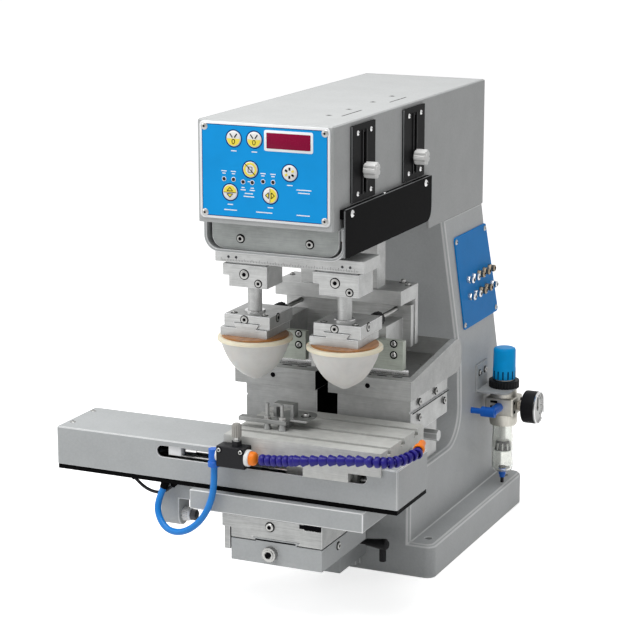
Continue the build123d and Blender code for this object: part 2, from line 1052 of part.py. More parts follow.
def regulator_knob():
    low = reg_knob_low + running_gap
    skirt_top = low + reg_skirt_height
    ribs = lobed(reg_knob_radius, reg_knob_groove_depth, reg_knob_groove_count)
    skirt = extrude(ribs, amount=reg_skirt_height)
    cap_radius = reg_knob_radius - reg_knob_groove_depth
    cap = rod("z", cap_radius, skirt_top, reg_knob_high, (reg_x, reg_y))
    cap = chamfer(cap.faces().sort_by(Axis.Z)[-1].edges(), reg_knob_groove_depth)
    return Pos(reg_x, reg_y, low) * skirt + cap


def pressure_gauge():
    place = (reg_y, gauge_z)
    case = drum("x", gauge_radius, gauge_start, gauge_end, place)
    case -= drum("x", gauge_dish_radius, gauge_end - gauge_dish_depth, gauge_end + over, place)
    case += rod("x", gauge_stem_radius, reg_x + reg_body_half, gauge_start, place)
    pin_end = gauge_end - gauge_dish_depth + needle_sheet
    return case + rod("x", needle_pin_radius, gauge_end - gauge_dish_depth, pin_end, place)


def gauge_needle():
    dial = gauge_end - gauge_dish_depth
    start = dial + running_gap * 2
    needle = block(
        (start, start + needle_sheet),
        around(reg_y, needle_half),
        (gauge_z - needle_tail, gauge_z + needle_length),
    )
    needle += faceted("x", needle_boss, start, start + needle_sheet, (reg_y, gauge_z), small_sides)
    return needle - drill("x", needle_pin_radius + running_gap, dial, gauge_end, (reg_y, gauge_z))


def air_fitting():
    tube = rod("x", tube_radius, half_body - casting_wall, elbow_start, (hose_port_y, hose_port_z))
    elbow = rod("x", elbow_radius, elbow_start, elbow_end, (hose_port_y, hose_port_z))
    branch = rod("y", branch_radius, hose_port_y, reg_y - reg_body_half, (reg_x, hose_port_z))
    return tube + elbow + branch


# Knee and cross slides that carry the work table
knee_half = 25.0
knee_low = 22.0
knee_high = 98.0
saddle_half = 59.0
saddle_front = -385.0
saddle_back = -255.0
saddle_low_bottom = 72.0
saddle_low_top = 98.5
saddle_gap = 1.5
saddle_top_top = 127.6
tongue_height = 5.0
tongue_top_half = 30.0
tongue_foot_half = 26.0
saddle_slot_width = 20.0
saddle_slot_height = 7.0
saddle_slot_left = 36.0
plate_bottom = 129.0
plate_half = 112.0
plate_front = -389.0
plate_back = -259.0
y_screw_x = -7.0
y_screw_z = 86.0
y_screw_head_radius = 9.0
y_screw_head_length = 8.0
y_screw_radius = 4.0
y_screw_depth = 40.0
lug_left = -166.0
boss_right = -141.0
boss_radius = 14.0
boss_y = -348.0
boss_z = 106.0
stop_screw_radius = 4.0
stop_screw_left = -171.0
thumb_radius = 8.2
thumb_length = 7.0
thumb_ribs = 10
thumb_rib_depth = 1.0
thumb_disc_length = 3.0
thumb_disc_radius = 7.4
thumb_tip_radius = 7.0
thumb_tip_length = 7.0
tab_left = -71.0
tab_low = 112.0
tab_back = -360.0
screw_plate_left = -68.0
screw_plate_back = -300.0
screw_plate_low = 84.0
lever_y = -207.0
lever_z = 50.0
lever_stem_radius = 3.4
lever_stem_depth = 14.0
lever_hub_radius = 7.2
lever_hub_start = 40.0
lever_hub_end = 62.0
lever_handle_radius = 4.4
lever_handle_reach = 22.0


def slide_tongue(low, gap):
    """Dovetail bar profile, wider above; gap makes it larger to cut its groove."""
    return outline(
        [
            (-tongue_foot_half - gap, low),
            (tongue_foot_half + gap, low),
            (tongue_top_half + gap, low + tongue_height + gap),
            (-tongue_top_half - gap, low + tongue_height + gap),
        ]
    )


def knee_slide():
    """Knee on the base's upright way, and the lower saddle fixed on it."""
    back = -half_length - sliding_gap
    knee = block((-knee_half, knee_half), (saddle_back, back), (knee_low, knee_high))
    pocket = way_half_width + sliding_gap
    knee -= block(
        (-pocket, pocket), (back - way_depth, back + over), (knee_low - over, knee_high + over)
    )
    bore = lever_stem_radius + running_gap
    knee -= drill("x", bore, knee_half - lever_stem_depth, knee_half + over, (lever_y, lever_z))
    lower = block(
        (-saddle_half, saddle_half), (saddle_front, saddle_back), (saddle_low_bottom, saddle_low_top)
    )
    lower += prism_y(slide_tongue(saddle_low_top, 0), (saddle_front, saddle_back))
    place = (y_screw_x, y_screw_z)
    lower -= drill(
        "y", y_screw_radius + running_gap, saddle_front - over, saddle_front + y_screw_depth, place
    )
    return [knee, lower]


def saddle_top():
    low = saddle_low_top + saddle_gap
    body = block((-saddle_half, saddle_half), (saddle_front, saddle_back), (low, saddle_top_top))
    body -= prism_y(slide_tongue(saddle_low_top, sliding_gap), (saddle_front - over, saddle_back + over))
    middle = (saddle_front + saddle_back) / 2
    rail = Pos(0, middle, 0) * prism_x(slide_tongue(saddle_top_top, 0), (-saddle_half, saddle_half))
    body += rail
    body -= block(
        (saddle_slot_left, saddle_half - saddle_gap),
        (saddle_front - over, saddle_front + saddle_slot_width),
        (saddle_top_top - saddle_slot_height, saddle_top_top + over),
    )
    tab = block((tab_left, -saddle_half), (saddle_front, tab_back), (tab_low, saddle_top_top))
    plate = block(
        (screw_plate_left, -saddle_half - saddle_gap),
        (saddle_front, screw_plate_back),
        (screw_plate_low, tab_low),
    )
    return body + tab + plate


def work_plate():
    """Slab on the cross slide, with a lug and boss under its left end."""
    plate = block((-plate_half, plate_half), (plate_front, plate_back), (plate_bottom, plate_top))
    middle = (saddle_front + saddle_back) / 2
    reach = saddle_half + saddle_slot_width
    plate -= Pos(0, middle, 0) * prism_x(slide_tongue(saddle_top_top, sliding_gap), (-reach, reach))
    width = around(boss_y, boss_radius)
    plate += block((lug_left, -plate_half), width, (plate_bottom, plate_top))
    plate += block((lug_left, boss_right), width, (boss_z, plate_bottom))
    plate += rod("x", boss_radius, lug_left, boss_right, (boss_y, boss_z))
    bore = stop_screw_radius + running_gap
    return plate - drill("x", bore, lug_left - over, boss_right + over, (boss_y, boss_z))


def x_stop_screw():
    """Ribbed thumb screw through the lug's boss, with a collar and a hexagon tip."""
    place = (boss_y, boss_z)
    start = boss_right + sliding_gap
    knob_end = start + thumb_length
    knob = extrude(lobed(thumb_radius, thumb_rib_depth, thumb_ribs), amount=thumb_length)
    knob = Pos(start, boss_y, boss_z) * facing("+x") * knob
    disc_end = knob_end + thumb_disc_length
    knob += faceted("x", thumb_disc_radius, knob_end, disc_end, place, small_sides)
    tip = extrude(RegularPolygon(thumb_tip_radius, 6), amount=thumb_tip_length)
    knob += Pos(disc_end, boss_y, boss_z) * facing("+x") * tip
    return knob + rod("x", stop_screw_radius, stop_screw_left, start, place)


def y_screw():
    place = (y_screw_x, y_screw_z)
    face = saddle_front - sliding_gap
    head = rod("y", y_screw_head_radius, face - y_screw_head_length, face, place)
    socket = extrude(RegularPolygon(y_screw_head_radius / 2, 6), amount=y_screw_head_length)
    front = Pos(y_screw_x, face - y_screw_head_length / 2, y_screw_z)
    head -= front * facing("-y") * socket
    return head + rod("y", y_screw_radius, face, saddle_front + y_screw_depth - over, place)


def clamp_lever():
    """Stem, waisted hub and a round handle that hangs from it."""
    place = (lever_y, lever_z)
    stem = rod("x", lever_stem_radius, knee_half - lever_stem_depth + over, lever_hub_start, place)
    hub = ringed(
        [
            (lever_handle_radius, lever_hub_start),
            (lever_hub_radius, lever_hub_end),
            (lever_hub_radius, lever_hub_end + lever_handle_radius),
            (lever_handle_radius, lever_hub_end + lever_hub_radius),
        ],
        small_sides,
    )
    hub = Pos(0, lever_y, lever_z) * facing("+x") * hub
    low = lever_z - lever_handle_reach
    handle = faceted("z", lever_handle_radius, low, lever_z, (lever_hub_end, lever_y), small_sides)
    return stem + hub + handle


# Shuttle: long housing, black base, rails inside, and the grooved table
housing_sheet = 2.5
housing_edge = 1.2
base_top = 158.5
base_inset = 1.0
slot_left = -160.0
slot_right = 113.0
slot_low = 185.0
slot_high = 199.0
rail_radius = 6.0
rail_z = 180.0
rail_ys = (-352.0, -314.0)
shuttle_cylinder_y = -333.0
shuttle_cylinder_z = 166.5
shuttle_cylinder_radius = 7.5
rail_block_size = 14.0
table_bottom = 206.5
apron_low = 197.0
apron_back = -380.4
bracket_left = 34.0
bracket_right = 91.0
table_bracket_low = 186.0
table_bracket_high = 198.0
runner_left = 5.0
runner_right = 95.0
runner_front = -366.0
runner_back = -300.0
runner_low = 175.0
runner_high = 196.0
groove_count = 3
groove_pitch = 42.0
groove_width = 7.0
groove_depth = 8.0
groove_under_width = 13.0
groove_under_height = 4.0
hose_gland_radius = 5.0
cable_gland_radius = 3.4
gland_sink = 3.0


def shuttle_cover():
    cover = block((housing_left, housing_right), (housing_front, housing_back), (base_top, housing_top))
    rim = [e for e in cover.edges() if e.center().Z > base_top + over]
    cover = chamfer(rim, housing_edge)
    cover -= block(
        (housing_left + housing_sheet, housing_right - housing_sheet),
        (housing_front + housing_sheet, housing_back - housing_sheet),
        (base_top - over, housing_top - housing_sheet),
    )
    height = slot_high - slot_low
    middle = (slot_low + slot_high) / 2
    radius = height / 2
    wall = (housing_front - over, housing_front + housing_sheet + over)
    cut = block((slot_left + radius, slot_right - radius), wall, (slot_low, slot_high))
    for x in (slot_left + radius, slot_right - radius):
        cut += rod("y", radius, wall[0], wall[1], (x, middle))
    return cover - cut


def gland(tip, before, radius):
    """Sleeve from a cord's end up into the base plate, in line with the cord."""
    end = Vector(*tip)
    way = (end - Vector(*before)).normalized()
    length = (plate_top + gland_sink - end.Z) / way.Z
    sleeve = extrude(RegularPolygon(radius, small_sides), amount=length)
    return place_along(sleeve, end, way)


def shuttle_base():
    plate = block(
        (housing_left + base_inset, housing_right - base_inset),
        (housing_front + base_inset, housing_back - base_inset),
        (plate_top, base_top),
    )
    plate += gland(air_hose_route[-1], air_hose_route[-2], hose_gland_radius)
    plate += gland(cable_route[-1], cable_route[-2], cable_gland_radius)
    plate += gland(cable_route[0], cable_route[1], cable_gland_radius)
    return plate


def shuttle_drive():
    """Two rails and the cylinder, held by an end block at each end."""
    left = housing_left + housing_sheet
    right = housing_right - housing_sheet
    ends = [(left, left + rail_block_size), (right - rail_block_size, right)]
    pieces = []
    for span in ends:
        pieces.append(block(span, (runner_front, runner_back), (base_top, runner_high)))
    start, end = ends[0][1], ends[1][0]
    for y in rail_ys:
        pieces.append(rod("x", rail_radius, start, end, (y, rail_z)))
    place = (shuttle_cylinder_y, shuttle_cylinder_z)
    pieces.append(rod("x", shuttle_cylinder_radius, start, end, place))
    return pieces


def shuttle_table():
    x = (table_left, table_left + table_length)
    y = (table_front, table_front + table_width)
    table = block(x, y, (table_bottom, table_top))
    table += block(x, (table_front, apron_back), (apron_low, table_bottom))
    middle = table_front + table_width / 2
    for i in range(groove_count):
        at = middle + (i - (groove_count - 1) / 2) * groove_pitch
        run = (x[0] - over, x[1] + over)
        floor = table_top - groove_depth
        table -= block(run, around(at, groove_width / 2), (floor, table_top + over))
        table -= block(run, around(at, groove_under_width / 2), (floor, floor + groove_under_height))
    neck = (bracket_left, bracket_right)
    table += block(neck, (table_front, apron_back), (table_bracket_low, apron_low))
    table += block(neck, (apron_back, runner_front), (table_bracket_low, table_bracket_high))
    runner = block(
        (runner_left, runner_right), (runner_front, runner_back), (runner_low, table_bracket_high)
    )
    runner -= block(
        (runner_left - over, runner_right + over),
        (runner_front - over, runner_back + over),
        (runner_high + over * 2, table_bracket_high + over),
    )
    for at in rail_ys:
        bore = rail_radius + running_gap
        runner -= drill("x", bore, runner_left - over, runner_right + over, (at, rail_z))
    return table + runner


# Print fixture on the table
jig_foot_shares = (0.580645, 0.887097)
jig_foot_y = -344.0
jig_foot_radius = 5.0
jig_foot_top_radius = 3.0
jig_foot_height = 8.0
jig_stud_radius = 2.2
jig_stud_top = 257.0
jig_bar_low = 233.0
jig_bar_high = 238.0
jig_bar_left = -66.0
jig_bar_right = -4.0
jig_bar_front = -349.0
jig_bar_back = -338.0
jig_leaf_front = -338.0
jig_leaf_back = -298.0
jig_leaf_left = -26.0
jig_leaf_right = 18.0
jig_leaf_corner = 12.0
jig_leaf_sheet = 2.5
jig_arch_left = -28.0
jig_arch_right = -2.0
jig_arch_front = -332.0
jig_arch_back = -318.0
jig_arch_top = 254.0
jig_arch_sheet = 4.0
jig_leg_half = 7.0


def jig():
    body = block((jig_bar_left, jig_bar_right), (jig_bar_front, jig_bar_back), (jig_bar_low, jig_bar_high))
    leaf_points = [
        (jig_leaf_left, jig_leaf_front),
        (jig_leaf_right, jig_leaf_front),
        (jig_leaf_right, jig_leaf_back),
        (jig_leaf_left, jig_leaf_back),
    ]
    corners = [(leaf_points[2], jig_leaf_corner), (leaf_points[3], jig_leaf_corner)]
    leaf = extrude(outline(leaf_points, corners), amount=jig_leaf_sheet)
    body += Pos(0, 0, jig_bar_high - jig_leaf_sheet) * leaf
    arch = block(
        (jig_arch_left, jig_arch_right), (jig_arch_front, jig_arch_back), (jig_bar_high, jig_arch_top)
    )
    arch -= block(
        (jig_arch_left + jig_arch_sheet, jig_arch_right - jig_arch_sheet),
        (jig_arch_front - over, jig_arch_back + over),
        (jig_bar_high - over, jig_arch_top - jig_arch_sheet),
    )
    body += arch
    middle_x = (jig_arch_left + jig_arch_right) / 2
    middle_y = (jig_arch_front + jig_arch_back) / 2
    body += block(
        around(middle_x, jig_leg_half),
        around(middle_y, jig_leg_half),
        (table_top, jig_bar_high - jig_leaf_sheet),
    )
    for share in jig_foot_shares:
        place = (jig_bar_left + (jig_bar_right - jig_bar_left) * share, jig_foot_y)
        foot = ringed([(jig_foot_radius, 0), (jig_foot_top_radius, jig_foot_height)], small_sides)
        body += Pos(place[0], place[1], table_top) * foot
        low = table_top + jig_foot_height
        body += faceted("z", jig_stud_radius, low, jig_stud_top, place, small_sides)
    return body


# Blower: valve block on the table's front, jointed hose and nozzle
valve_left = -68.0
valve_right = -32.0
valve_front = -404.0
valve_low = 190.5
valve_high = 216.0
valve_edge = 1.0
seat_radius = 6.5
seat_height = 6.0
seat_x = -46.0
seat_y = -394.0
needle_neck_radius = 3.5
needle_knob_radius = 5.8
needle_knob_low = 227.0
needle_knob_high = 243.0
link_radius = 7.2
ball_radius = 4.5
ball_share = 0.76
neck_radius = 2.9
socket_radius = 5.0
socket_top = 4.7
shell_shares = (0.84, 0.75)
hose_bore = 2.2
mouth_reach = 1.3
flange_ring_radius = 10.0
flange_ring_length = 5.0
adapter_radius = 8.2
adapter_length = 5.0
adapter_neck_radius = 2.8
air_elbow_x = -75.0
air_elbow_y = -396.0
air_elbow_z = 203.0
air_elbow_radius = 6.5
elbow_neck_radius = 6.0
air_elbow_low = 188.0
hose_start_x = -21.0
hose_start_y = -396.0
hose_start_z = 203.5
hose_reach = 187.0
hose_swing = 42.0
hose_rise = 22.5
hose_shares = [
    (0, 0, 0),
    (0.187166, -0.02381, 0.133333),
    (0.358289, -0.02381, 0.333333),
    (0.582888, 0, 0.555556),
    (0.786096, 0, 0.688889),
    (0.903743, 0.119048, 0.733333),
    (0.97861, 0.47619, 0.844444),
    (1, 1, 1),
]
hose_path = [
    (
        hose_start_x + hose_reach * x_share,
        hose_start_y + hose_swing * y_share,
        hose_start_z + hose_rise * z_share,
    )
    for x_share, y_share, z_share in hose_shares
]
short_link = 7.8
long_link = 11.6
first_links = 7
middle_links = 8
last_links = 8
nozzle_length = 20.0
nozzle_mouth = 3.4
spout_shares = (0.22, 0.62, 0.5)


def hose_stations():
    """Socket centres along the smooth line of the jointed hose."""
    line = Spline(*hose_path)
    pitches = [short_link] * first_links + [long_link] * middle_links + [short_link] * last_links
    scale = line.length / (sum(pitches) + short_link)
    run = short_link * scale
    places = [(line @ (run / line.length), line % (run / line.length))]
    for pitch in pitches:
        run += pitch * scale
        share = min(run / line.length, 1)
        places.append((line @ share, line % share))
    return places


def hollowed(body, top):
    """Cut the socket for a ball at the origin, and the bore above it."""
    shoulder = ball_radius / 2
    socket = ringed(
        [(socket_radius, -mouth_reach - over), (socket_radius, shoulder), (hose_bore, socket_top)],
        hose_sides,
    )
    bore = ringed([(hose_bore, shoulder), (hose_bore, top + over)], hose_sides)
    return body - (socket + bore)


def hose_link(pitch):
    """One link: socket below, tapering shell, and the ball that fills the next socket."""
    reach = ball_radius * ball_share
    neck = pitch - reach
    top = pitch + reach
    rings = [
        (link_radius, -mouth_reach),
        (link_radius * shell_shares[0], neck * shell_shares[1]),
        (neck_radius, neck),
        (ball_radius, pitch),
        (neck_radius, top),
    ]
    return hollowed(ringed(rings, hose_sides), top)


def place_along(shape, point, way):
    """Turn a shape from +Z to a direction and move it to a point."""
    return Plane(origin=point, z_dir=way).location * shape


def hose_links():
    stations = hose_stations()
    links = []
    for (here, _), (there, _) in zip(stations[:-1], stations[1:]):
        way = there - here
        links.append(place_along(hose_link(way.length), here, way))
    return links


def nozzle():
    """Tapered spout on the last ball."""
    point, way = hose_stations()[-1]
    rings = [
        (link_radius, -mouth_reach),
        (link_radius, nozzle_length * spout_shares[0]),
        (link_radius * spout_shares[1], nozzle_length * spout_shares[2]),
        (nozzle_mouth, nozzle_length),
    ]
    return place_along(hollowed(ringed(rings, hose_sides), nozzle_length), point, way)


def valve_block():
    body = block((valve_left, valve_right), (valve_front, table_front), (valve_low, valve_high))
    body = chamfer(body.edges().filter_by(Axis.X), valve_edge)
    seat = extrude(RegularPolygon(seat_radius, 6), amount=seat_height)
    body += Pos(seat_x, seat_y, valve_high) * seat
    body -= drill(
        "z",
        needle_neck_radius + running_gap,
        valve_high - seat_height,
        valve_high + seat_height + over,
        (seat_x, seat_y),
    )
    elbow = rod("x", elbow_neck_radius, air_elbow_x, valve_left, (air_elbow_y, air_elbow_z))
    elbow += rod(
        "z", air_elbow_radius, air_elbow_low, air_elbow_z + air_elbow_radius, (air_elbow_x, air_elbow_y)
    )
    start, way = hose_stations()[0]
    place = (start.Y, start.Z)
    ring_end = valve_right + flange_ring_length
    ring = drum("x", flange_ring_radius, valve_right, ring_end, place)
    ring += rod("x", adapter_radius, ring_end, ring_end + adapter_length, place)
    ring += rod("x", adapter_neck_radius, ring_end + adapter_length, start.X, place)
    reach = ball_radius * ball_share
    ball = ringed([(neck_radius, -reach), (ball_radius, 0), (neck_radius, reach)], hose_sides)
    ball -= ringed([(hose_bore, 0), (hose_bore, ball_radius)], hose_sides)
    ball = place_along(ball, start, way)
    ring += ball
    return [body, elbow, ring]


def needle_knob():
    place = (seat_x, seat_y)
    neck_low = valve_high - seat_height + over
    neck = rod("z", needle_neck_radius, neck_low, needle_knob_low, place)
    return neck + rod("z", needle_knob_radius, needle_knob_low, needle_knob_high, place)


# Free cords: the blue air hose and the black sensor cable
air_hose_diameter = 8.0
cable_diameter = 4.0
air_hose_route = [
    (-75.0, -396.0, 188.0),
    (-75.0, -396.0, 170.0),
    (-77.5, -397.0, 149.0),
    (-86.0, -398.0, 128.0),
    (-101.0, -397.5, 110.0),
    (-121.0, -395.5, 98.5),
    (-142.0, -391.0, 98.0),
    (-156.5, -385.0, 110.5),
    (-161.0, -379.5, 127.5),
    (-155.0, -374.5, 144.0),
]
cable_route = [
    (-197.0, -368.0, 149.5),
    (-188.0, -368.5, 142.0),
    (-177.0, -369.0, 137.0),
    (-165.0, -369.5, 135.5),
    (-154.0, -369.0, 139.0),
    (-146.0, -368.0, 146.5),
]


def cord(name, route, diameter):
    """Tube of straight runs and tangent arcs; prints its radii and its length."""
    points = [Vector(*p) for p in route]
    radii = []
    for a, b, c in zip(points, points[1:], points[2:]):
        turn = math.radians((b - a).get_angle(c - b))
        shorter = min((b - a).length, (c - b).length)
        radii.append(0.45 * shorter / math.tan(turn / 2))
    path = FilletPolyline(*points, radius=radii)
    start = Plane(origin=path @ 0, z_dir=path % 0)
    section = RegularPolygon(diameter / 2, hose_sides)
    tube = sweep(start * section, path=path)
    expected = section.area * path.length
    shown = ", ".join(f"{r:.0f}" for r in radii)
    print(f"{name}: length {path.length:.1f}, volume share {tube.volume / expected:.4f}, radii {shown}")
    return tube


def main():
    os.makedirs("parts", exist_ok=True)
    save("base_casting", base_casting())
    save("head_casing", head_casing())
    save("control_panel", control_panel())
    for name, place in button_places.items():
        save(name, panel_button(place))
    save("slot_plates", *slot_plates())
    save("side_cover", side_cover())
    save("stroke_stop_front", stroke_stop(front_stop_y, front_stop_z))
    save("stroke_stop_rear", stroke_stop(rear_stop_y, rear_stop_z))
    save("valve_panel", valve_panel())
    save("push_fittings", *push_fittings())
    save("display_window", display_window())
    save("carriage_drive", *carriage_drive())
    save("carriage_plate", carriage_plate(), drive_rod())
    save("nose_cover", *nose_cover())
    save("pad_cylinder", pad_cylinder())
    save("crossbar", crossbar())
    save("doctor_plate", doctor_plate())
    save("doctor_blades", *doctor_blades())
    save("blade_knob_left", blade_knob(-blade_x))
    save("blade_knob_right", blade_knob(blade_x))
    save("pad_lift_rods", *pad_lift_rods())
    save("holder_bar", holder_bar())
    save("pad_clamps", *[pad_clamp(x * pad_x) for x in sides])
    save("pad_holders", *[pad_holder(x * pad_x) for x in sides])
    save("pad_plates", *[pad_plate(x * pad_x) for x in sides])
    save("pad_backs", *[pad_back(x * pad_x) for x in sides])
    save("pad_left", pad(-pad_x))
    save("pad_right", pad(pad_x))
    save("ink_trays", *[ink_tray(x * tray_x) for x in sides])
    save("cliche_plates", *[cliche_plate(x * tray_x) for x in sides])
    save("pedestals", *[pedestal(side) for side in sides])
    save("regulator_bracket", regulator_bracket())
    save("regulator_body", *regulator_body())
    save("regulator_bowl", *regulator_bowl())
    save("regulator_knob", regulator_knob())
    save("pressure_gauge", pressure_gauge())
    save("gauge_needle", gauge_needle())
    save("air_fitting", air_fitting())
    save("knee_slide", *knee_slide())
    save("saddle_top", saddle_top())
    save("work_plate", work_plate())
    save("y_screw", y_screw())
    save("x_stop_screw", x_stop_screw())
    save("clamp_lever", clamp_lever())
    save("shuttle_cover", shuttle_cover())
    save("shuttle_base", shuttle_base())
    save("shuttle_drive", *shuttle_drive())
    save("shuttle_table", shuttle_table())
    save("jig", jig())
    save("valve_block", *valve_block())
    save("needle_knob", needle_knob())
    save("hose_links", *hose_links())
    save("nozzle", nozzle())
    save("air_hose", cord("air hose", air_hose_route, air_hose_diameter))
    save("black_cable", cord("black cable", cable_route, cable_diameter))


if __name__ == "__main__":
    main()
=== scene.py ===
# %% [markdown]
# # Dressing a two-colour bench pad printing machine
#
# The machine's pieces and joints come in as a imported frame. This script gives each of them the
# look of the real thing: hammered enamel on castings, brushed cuts on milled metal, soft silicone
# pads, a jointed blower hose and two free cords. Sizes are written in millimetres, because that
# is how a machine builder thinks, and are turned to metres where Blender needs them.

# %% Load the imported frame
import json
import math

import bmesh
import bpy
from mathutils import Matrix, Vector


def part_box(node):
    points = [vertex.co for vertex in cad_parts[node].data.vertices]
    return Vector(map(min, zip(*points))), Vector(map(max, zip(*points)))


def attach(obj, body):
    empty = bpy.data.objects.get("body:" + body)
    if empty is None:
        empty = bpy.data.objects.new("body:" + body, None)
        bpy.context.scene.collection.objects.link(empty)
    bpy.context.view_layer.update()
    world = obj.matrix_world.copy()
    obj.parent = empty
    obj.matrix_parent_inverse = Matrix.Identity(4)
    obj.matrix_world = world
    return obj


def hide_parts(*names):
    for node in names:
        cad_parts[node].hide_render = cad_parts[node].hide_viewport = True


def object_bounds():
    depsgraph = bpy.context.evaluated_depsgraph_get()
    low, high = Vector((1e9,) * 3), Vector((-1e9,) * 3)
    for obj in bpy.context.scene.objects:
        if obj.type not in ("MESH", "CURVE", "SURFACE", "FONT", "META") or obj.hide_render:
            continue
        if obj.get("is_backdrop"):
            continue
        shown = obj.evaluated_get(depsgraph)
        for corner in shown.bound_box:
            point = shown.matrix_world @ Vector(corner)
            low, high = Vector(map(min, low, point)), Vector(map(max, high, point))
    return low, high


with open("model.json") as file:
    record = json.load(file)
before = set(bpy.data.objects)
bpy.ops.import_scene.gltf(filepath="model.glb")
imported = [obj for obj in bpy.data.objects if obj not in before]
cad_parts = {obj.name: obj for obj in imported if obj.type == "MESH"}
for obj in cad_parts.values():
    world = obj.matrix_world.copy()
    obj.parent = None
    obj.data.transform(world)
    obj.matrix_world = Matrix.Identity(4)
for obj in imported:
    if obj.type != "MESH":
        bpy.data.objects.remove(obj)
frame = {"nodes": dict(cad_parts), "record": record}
cad_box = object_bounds()
MM = 0.001
UP, FRONT, BACK, RIGHT = (0, 0, 1), (0, -1, 0), (0, 1, 0), (1, 0, 0)

# %% [markdown]
# ## The camera
#
# The machine is seen from its right front, a little from above, through a long lens. The place
# and direction were solved from the machine's own straight edges. A track quaternion turns the
# camera along its line of sight and keeps it level.

# %% The camera at the photograph's viewing angle
CAMERA_PLACE = (1.0014, -2.4857, 0.9209)
CAMERA_YAW = math.radians(24.22)
CAMERA_PITCH = math.radians(13.34)
CAMERA_LENS = 117.5

camera_data = bpy.data.cameras.new("camera")
camera_data.lens = CAMERA_LENS
camera_data.sensor_width = 36
camera = bpy.data.objects.new("camera", camera_data)
level = math.cos(CAMERA_PITCH)
sight = (-math.sin(CAMERA_YAW) * level, math.cos(CAMERA_YAW) * level, -math.sin(CAMERA_PITCH))
camera.location = CAMERA_PLACE
camera.rotation_euler = Vector(sight).to_track_quat("-Z", "Y").to_euler()
bpy.context.scene.collection.objects.link(camera)
bpy.context.scene.camera = camera
bpy.context.scene.view_settings.view_transform = "Standard"
print("camera looks along", [round(v, 3) for v in sight])

# %% [markdown]
# ## Shader maths as plain maths
#
# A material's pattern is a sum: a base colour, plus grain, plus wear. Wiring that by hand hides
# the sum, so a small class wraps one output socket and lets plus and times add the Math nodes. A
# second class holds one material and makes every other node through one method.

# %% A socket that can be added and multiplied


class Wire:
    """One output of a material's node tree."""

    def __init__(self, paint, socket):
        self.paint, self.socket = paint, socket

    def maths(self, operation, first, second):
        return self.paint.node("ShaderNodeMath", {"operation": operation}, {0: first, 1: second})

    def __add__(self, other):
        return self.maths("ADD", self, other)

    def __radd__(self, other):
        return self.maths("ADD", other, self)

    def __rmul__(self, other):
        return self.maths("MULTIPLY", other, self)


class Paint:
    """One material: its node tree, its shader and the ways to feed them."""

    def __init__(self, name, color, metallic=0.0, shine=0.5):
        self.material = bpy.data.materials.new(name)
        self.material.use_nodes = True
        self.tree = self.material.node_tree
        self.shader = self.tree.nodes["Principled BSDF"]
        self.color = (*color, 1.0)
        self.shader.inputs["Specular IOR Level"].default_value = shine
        self.feed(Metallic=metallic)
        self.place = self.node("ShaderNodeTexCoord", {}, {}, "Object")

    def node(self, kind, settings, inputs, output=0):
        """Add a node: settings first, then the values or links of its sockets."""
        made = self.tree.nodes.new(kind)
        for name, value in settings.items():
            setattr(made, name, value)
        for key, value in inputs.items():
            self.join(made.inputs[key], value)
        return Wire(self, made.outputs[output])

    def join(self, socket, value):
        """Link a wire to a socket, or set a constant on it."""
        if isinstance(value, Wire):
            self.tree.links.new(value.socket, socket)
        else:
            socket.default_value = value

    def feed(self, **values):
        """Set or link the shader's own sockets."""
        for name, value in values.items():
            self.join(self.shader.inputs[name.replace("_", " ")], value)

    def noise(self, scale, detail=3.0, stretch=(1, 1, 1)):
        """Cloudy pattern; stretch draws it out along an axis, as a brush does."""
        where = self.node("ShaderNodeMapping", {}, {"Vector": self.place, "Scale": stretch})
        inputs = {"Vector": where, "Scale": scale, "Detail": detail, "Roughness": 0.55}
        return self.node("ShaderNodeTexNoise", {}, inputs)

    def shade(self, tone, low, high, amount):
        """The base colour, darker by an amount as the tone goes from low to high."""
        settings = {"clamp": True, "interpolation_type": "SMOOTHSTEP"}
        share = self.node("ShaderNodeMapRange", settings, {0: tone, 1: low, 2: high})
        darker = (*(c * (1 - amount) for c in self.color[:3]), 1.0)
        inputs = {0: share, 6: self.color, 7: darker}
        return self.node("ShaderNodeMix", {"data_type": "RGBA"}, inputs, 2)

    def finish(self, color, roughness, height, strength, depth):
        """Feed colour, roughness and bump, and hand the material over."""
        inputs = {"Strength": strength, "Distance": depth, "Height": height}
        bump = self.node("ShaderNodeBump", {}, inputs)
        self.feed(Base_Color=color, Roughness=roughness, Normal=bump)
        return self.material


# %% [markdown]
# ## Finishes
#
# Hammered enamel is glossy paint that has drawn itself into shallow cells, so its bump is a soft
# cell pattern two or three millimetres across. Milled aluminium has fine parallel lines: noise
# stretched along the cut. Moulded plastic is almost even, with a faint orange-peel skin.

# %% Paint, metal, plastic, wood and silicone


def enamel(name, color):
    """Hammered enamel: shallow cells, slight changes of tone and a soft gloss."""
    paint = Paint(name, color, shine=0.28)
    cells = paint.node("ShaderNodeTexVoronoi", {}, {"Vector": paint.place, "Scale": 330})
    cloud, grain = paint.noise(26, 4), paint.noise(900, 2)
    tone = paint.shade(0.55 * cloud + 0.28 * grain + 0.25 * cells, 0.25, 0.85, 0.13)
    return paint.finish(tone, 0.36 + 0.16 * grain, cells + 0.35 * grain, 0.22, 0.0006)


def satin(name, color, roughness=0.42, shine=0.5):
    """Smooth sprayed paint with a faint orange-peel skin."""
    paint = Paint(name, color, shine=shine)
    peel, cloud = paint.noise(520, 2), paint.noise(30)
    tone = paint.shade(cloud, 0.3, 0.8, 0.08)
    return paint.finish(tone, roughness + 0.12 * peel, peel, 0.08, 0.0004)


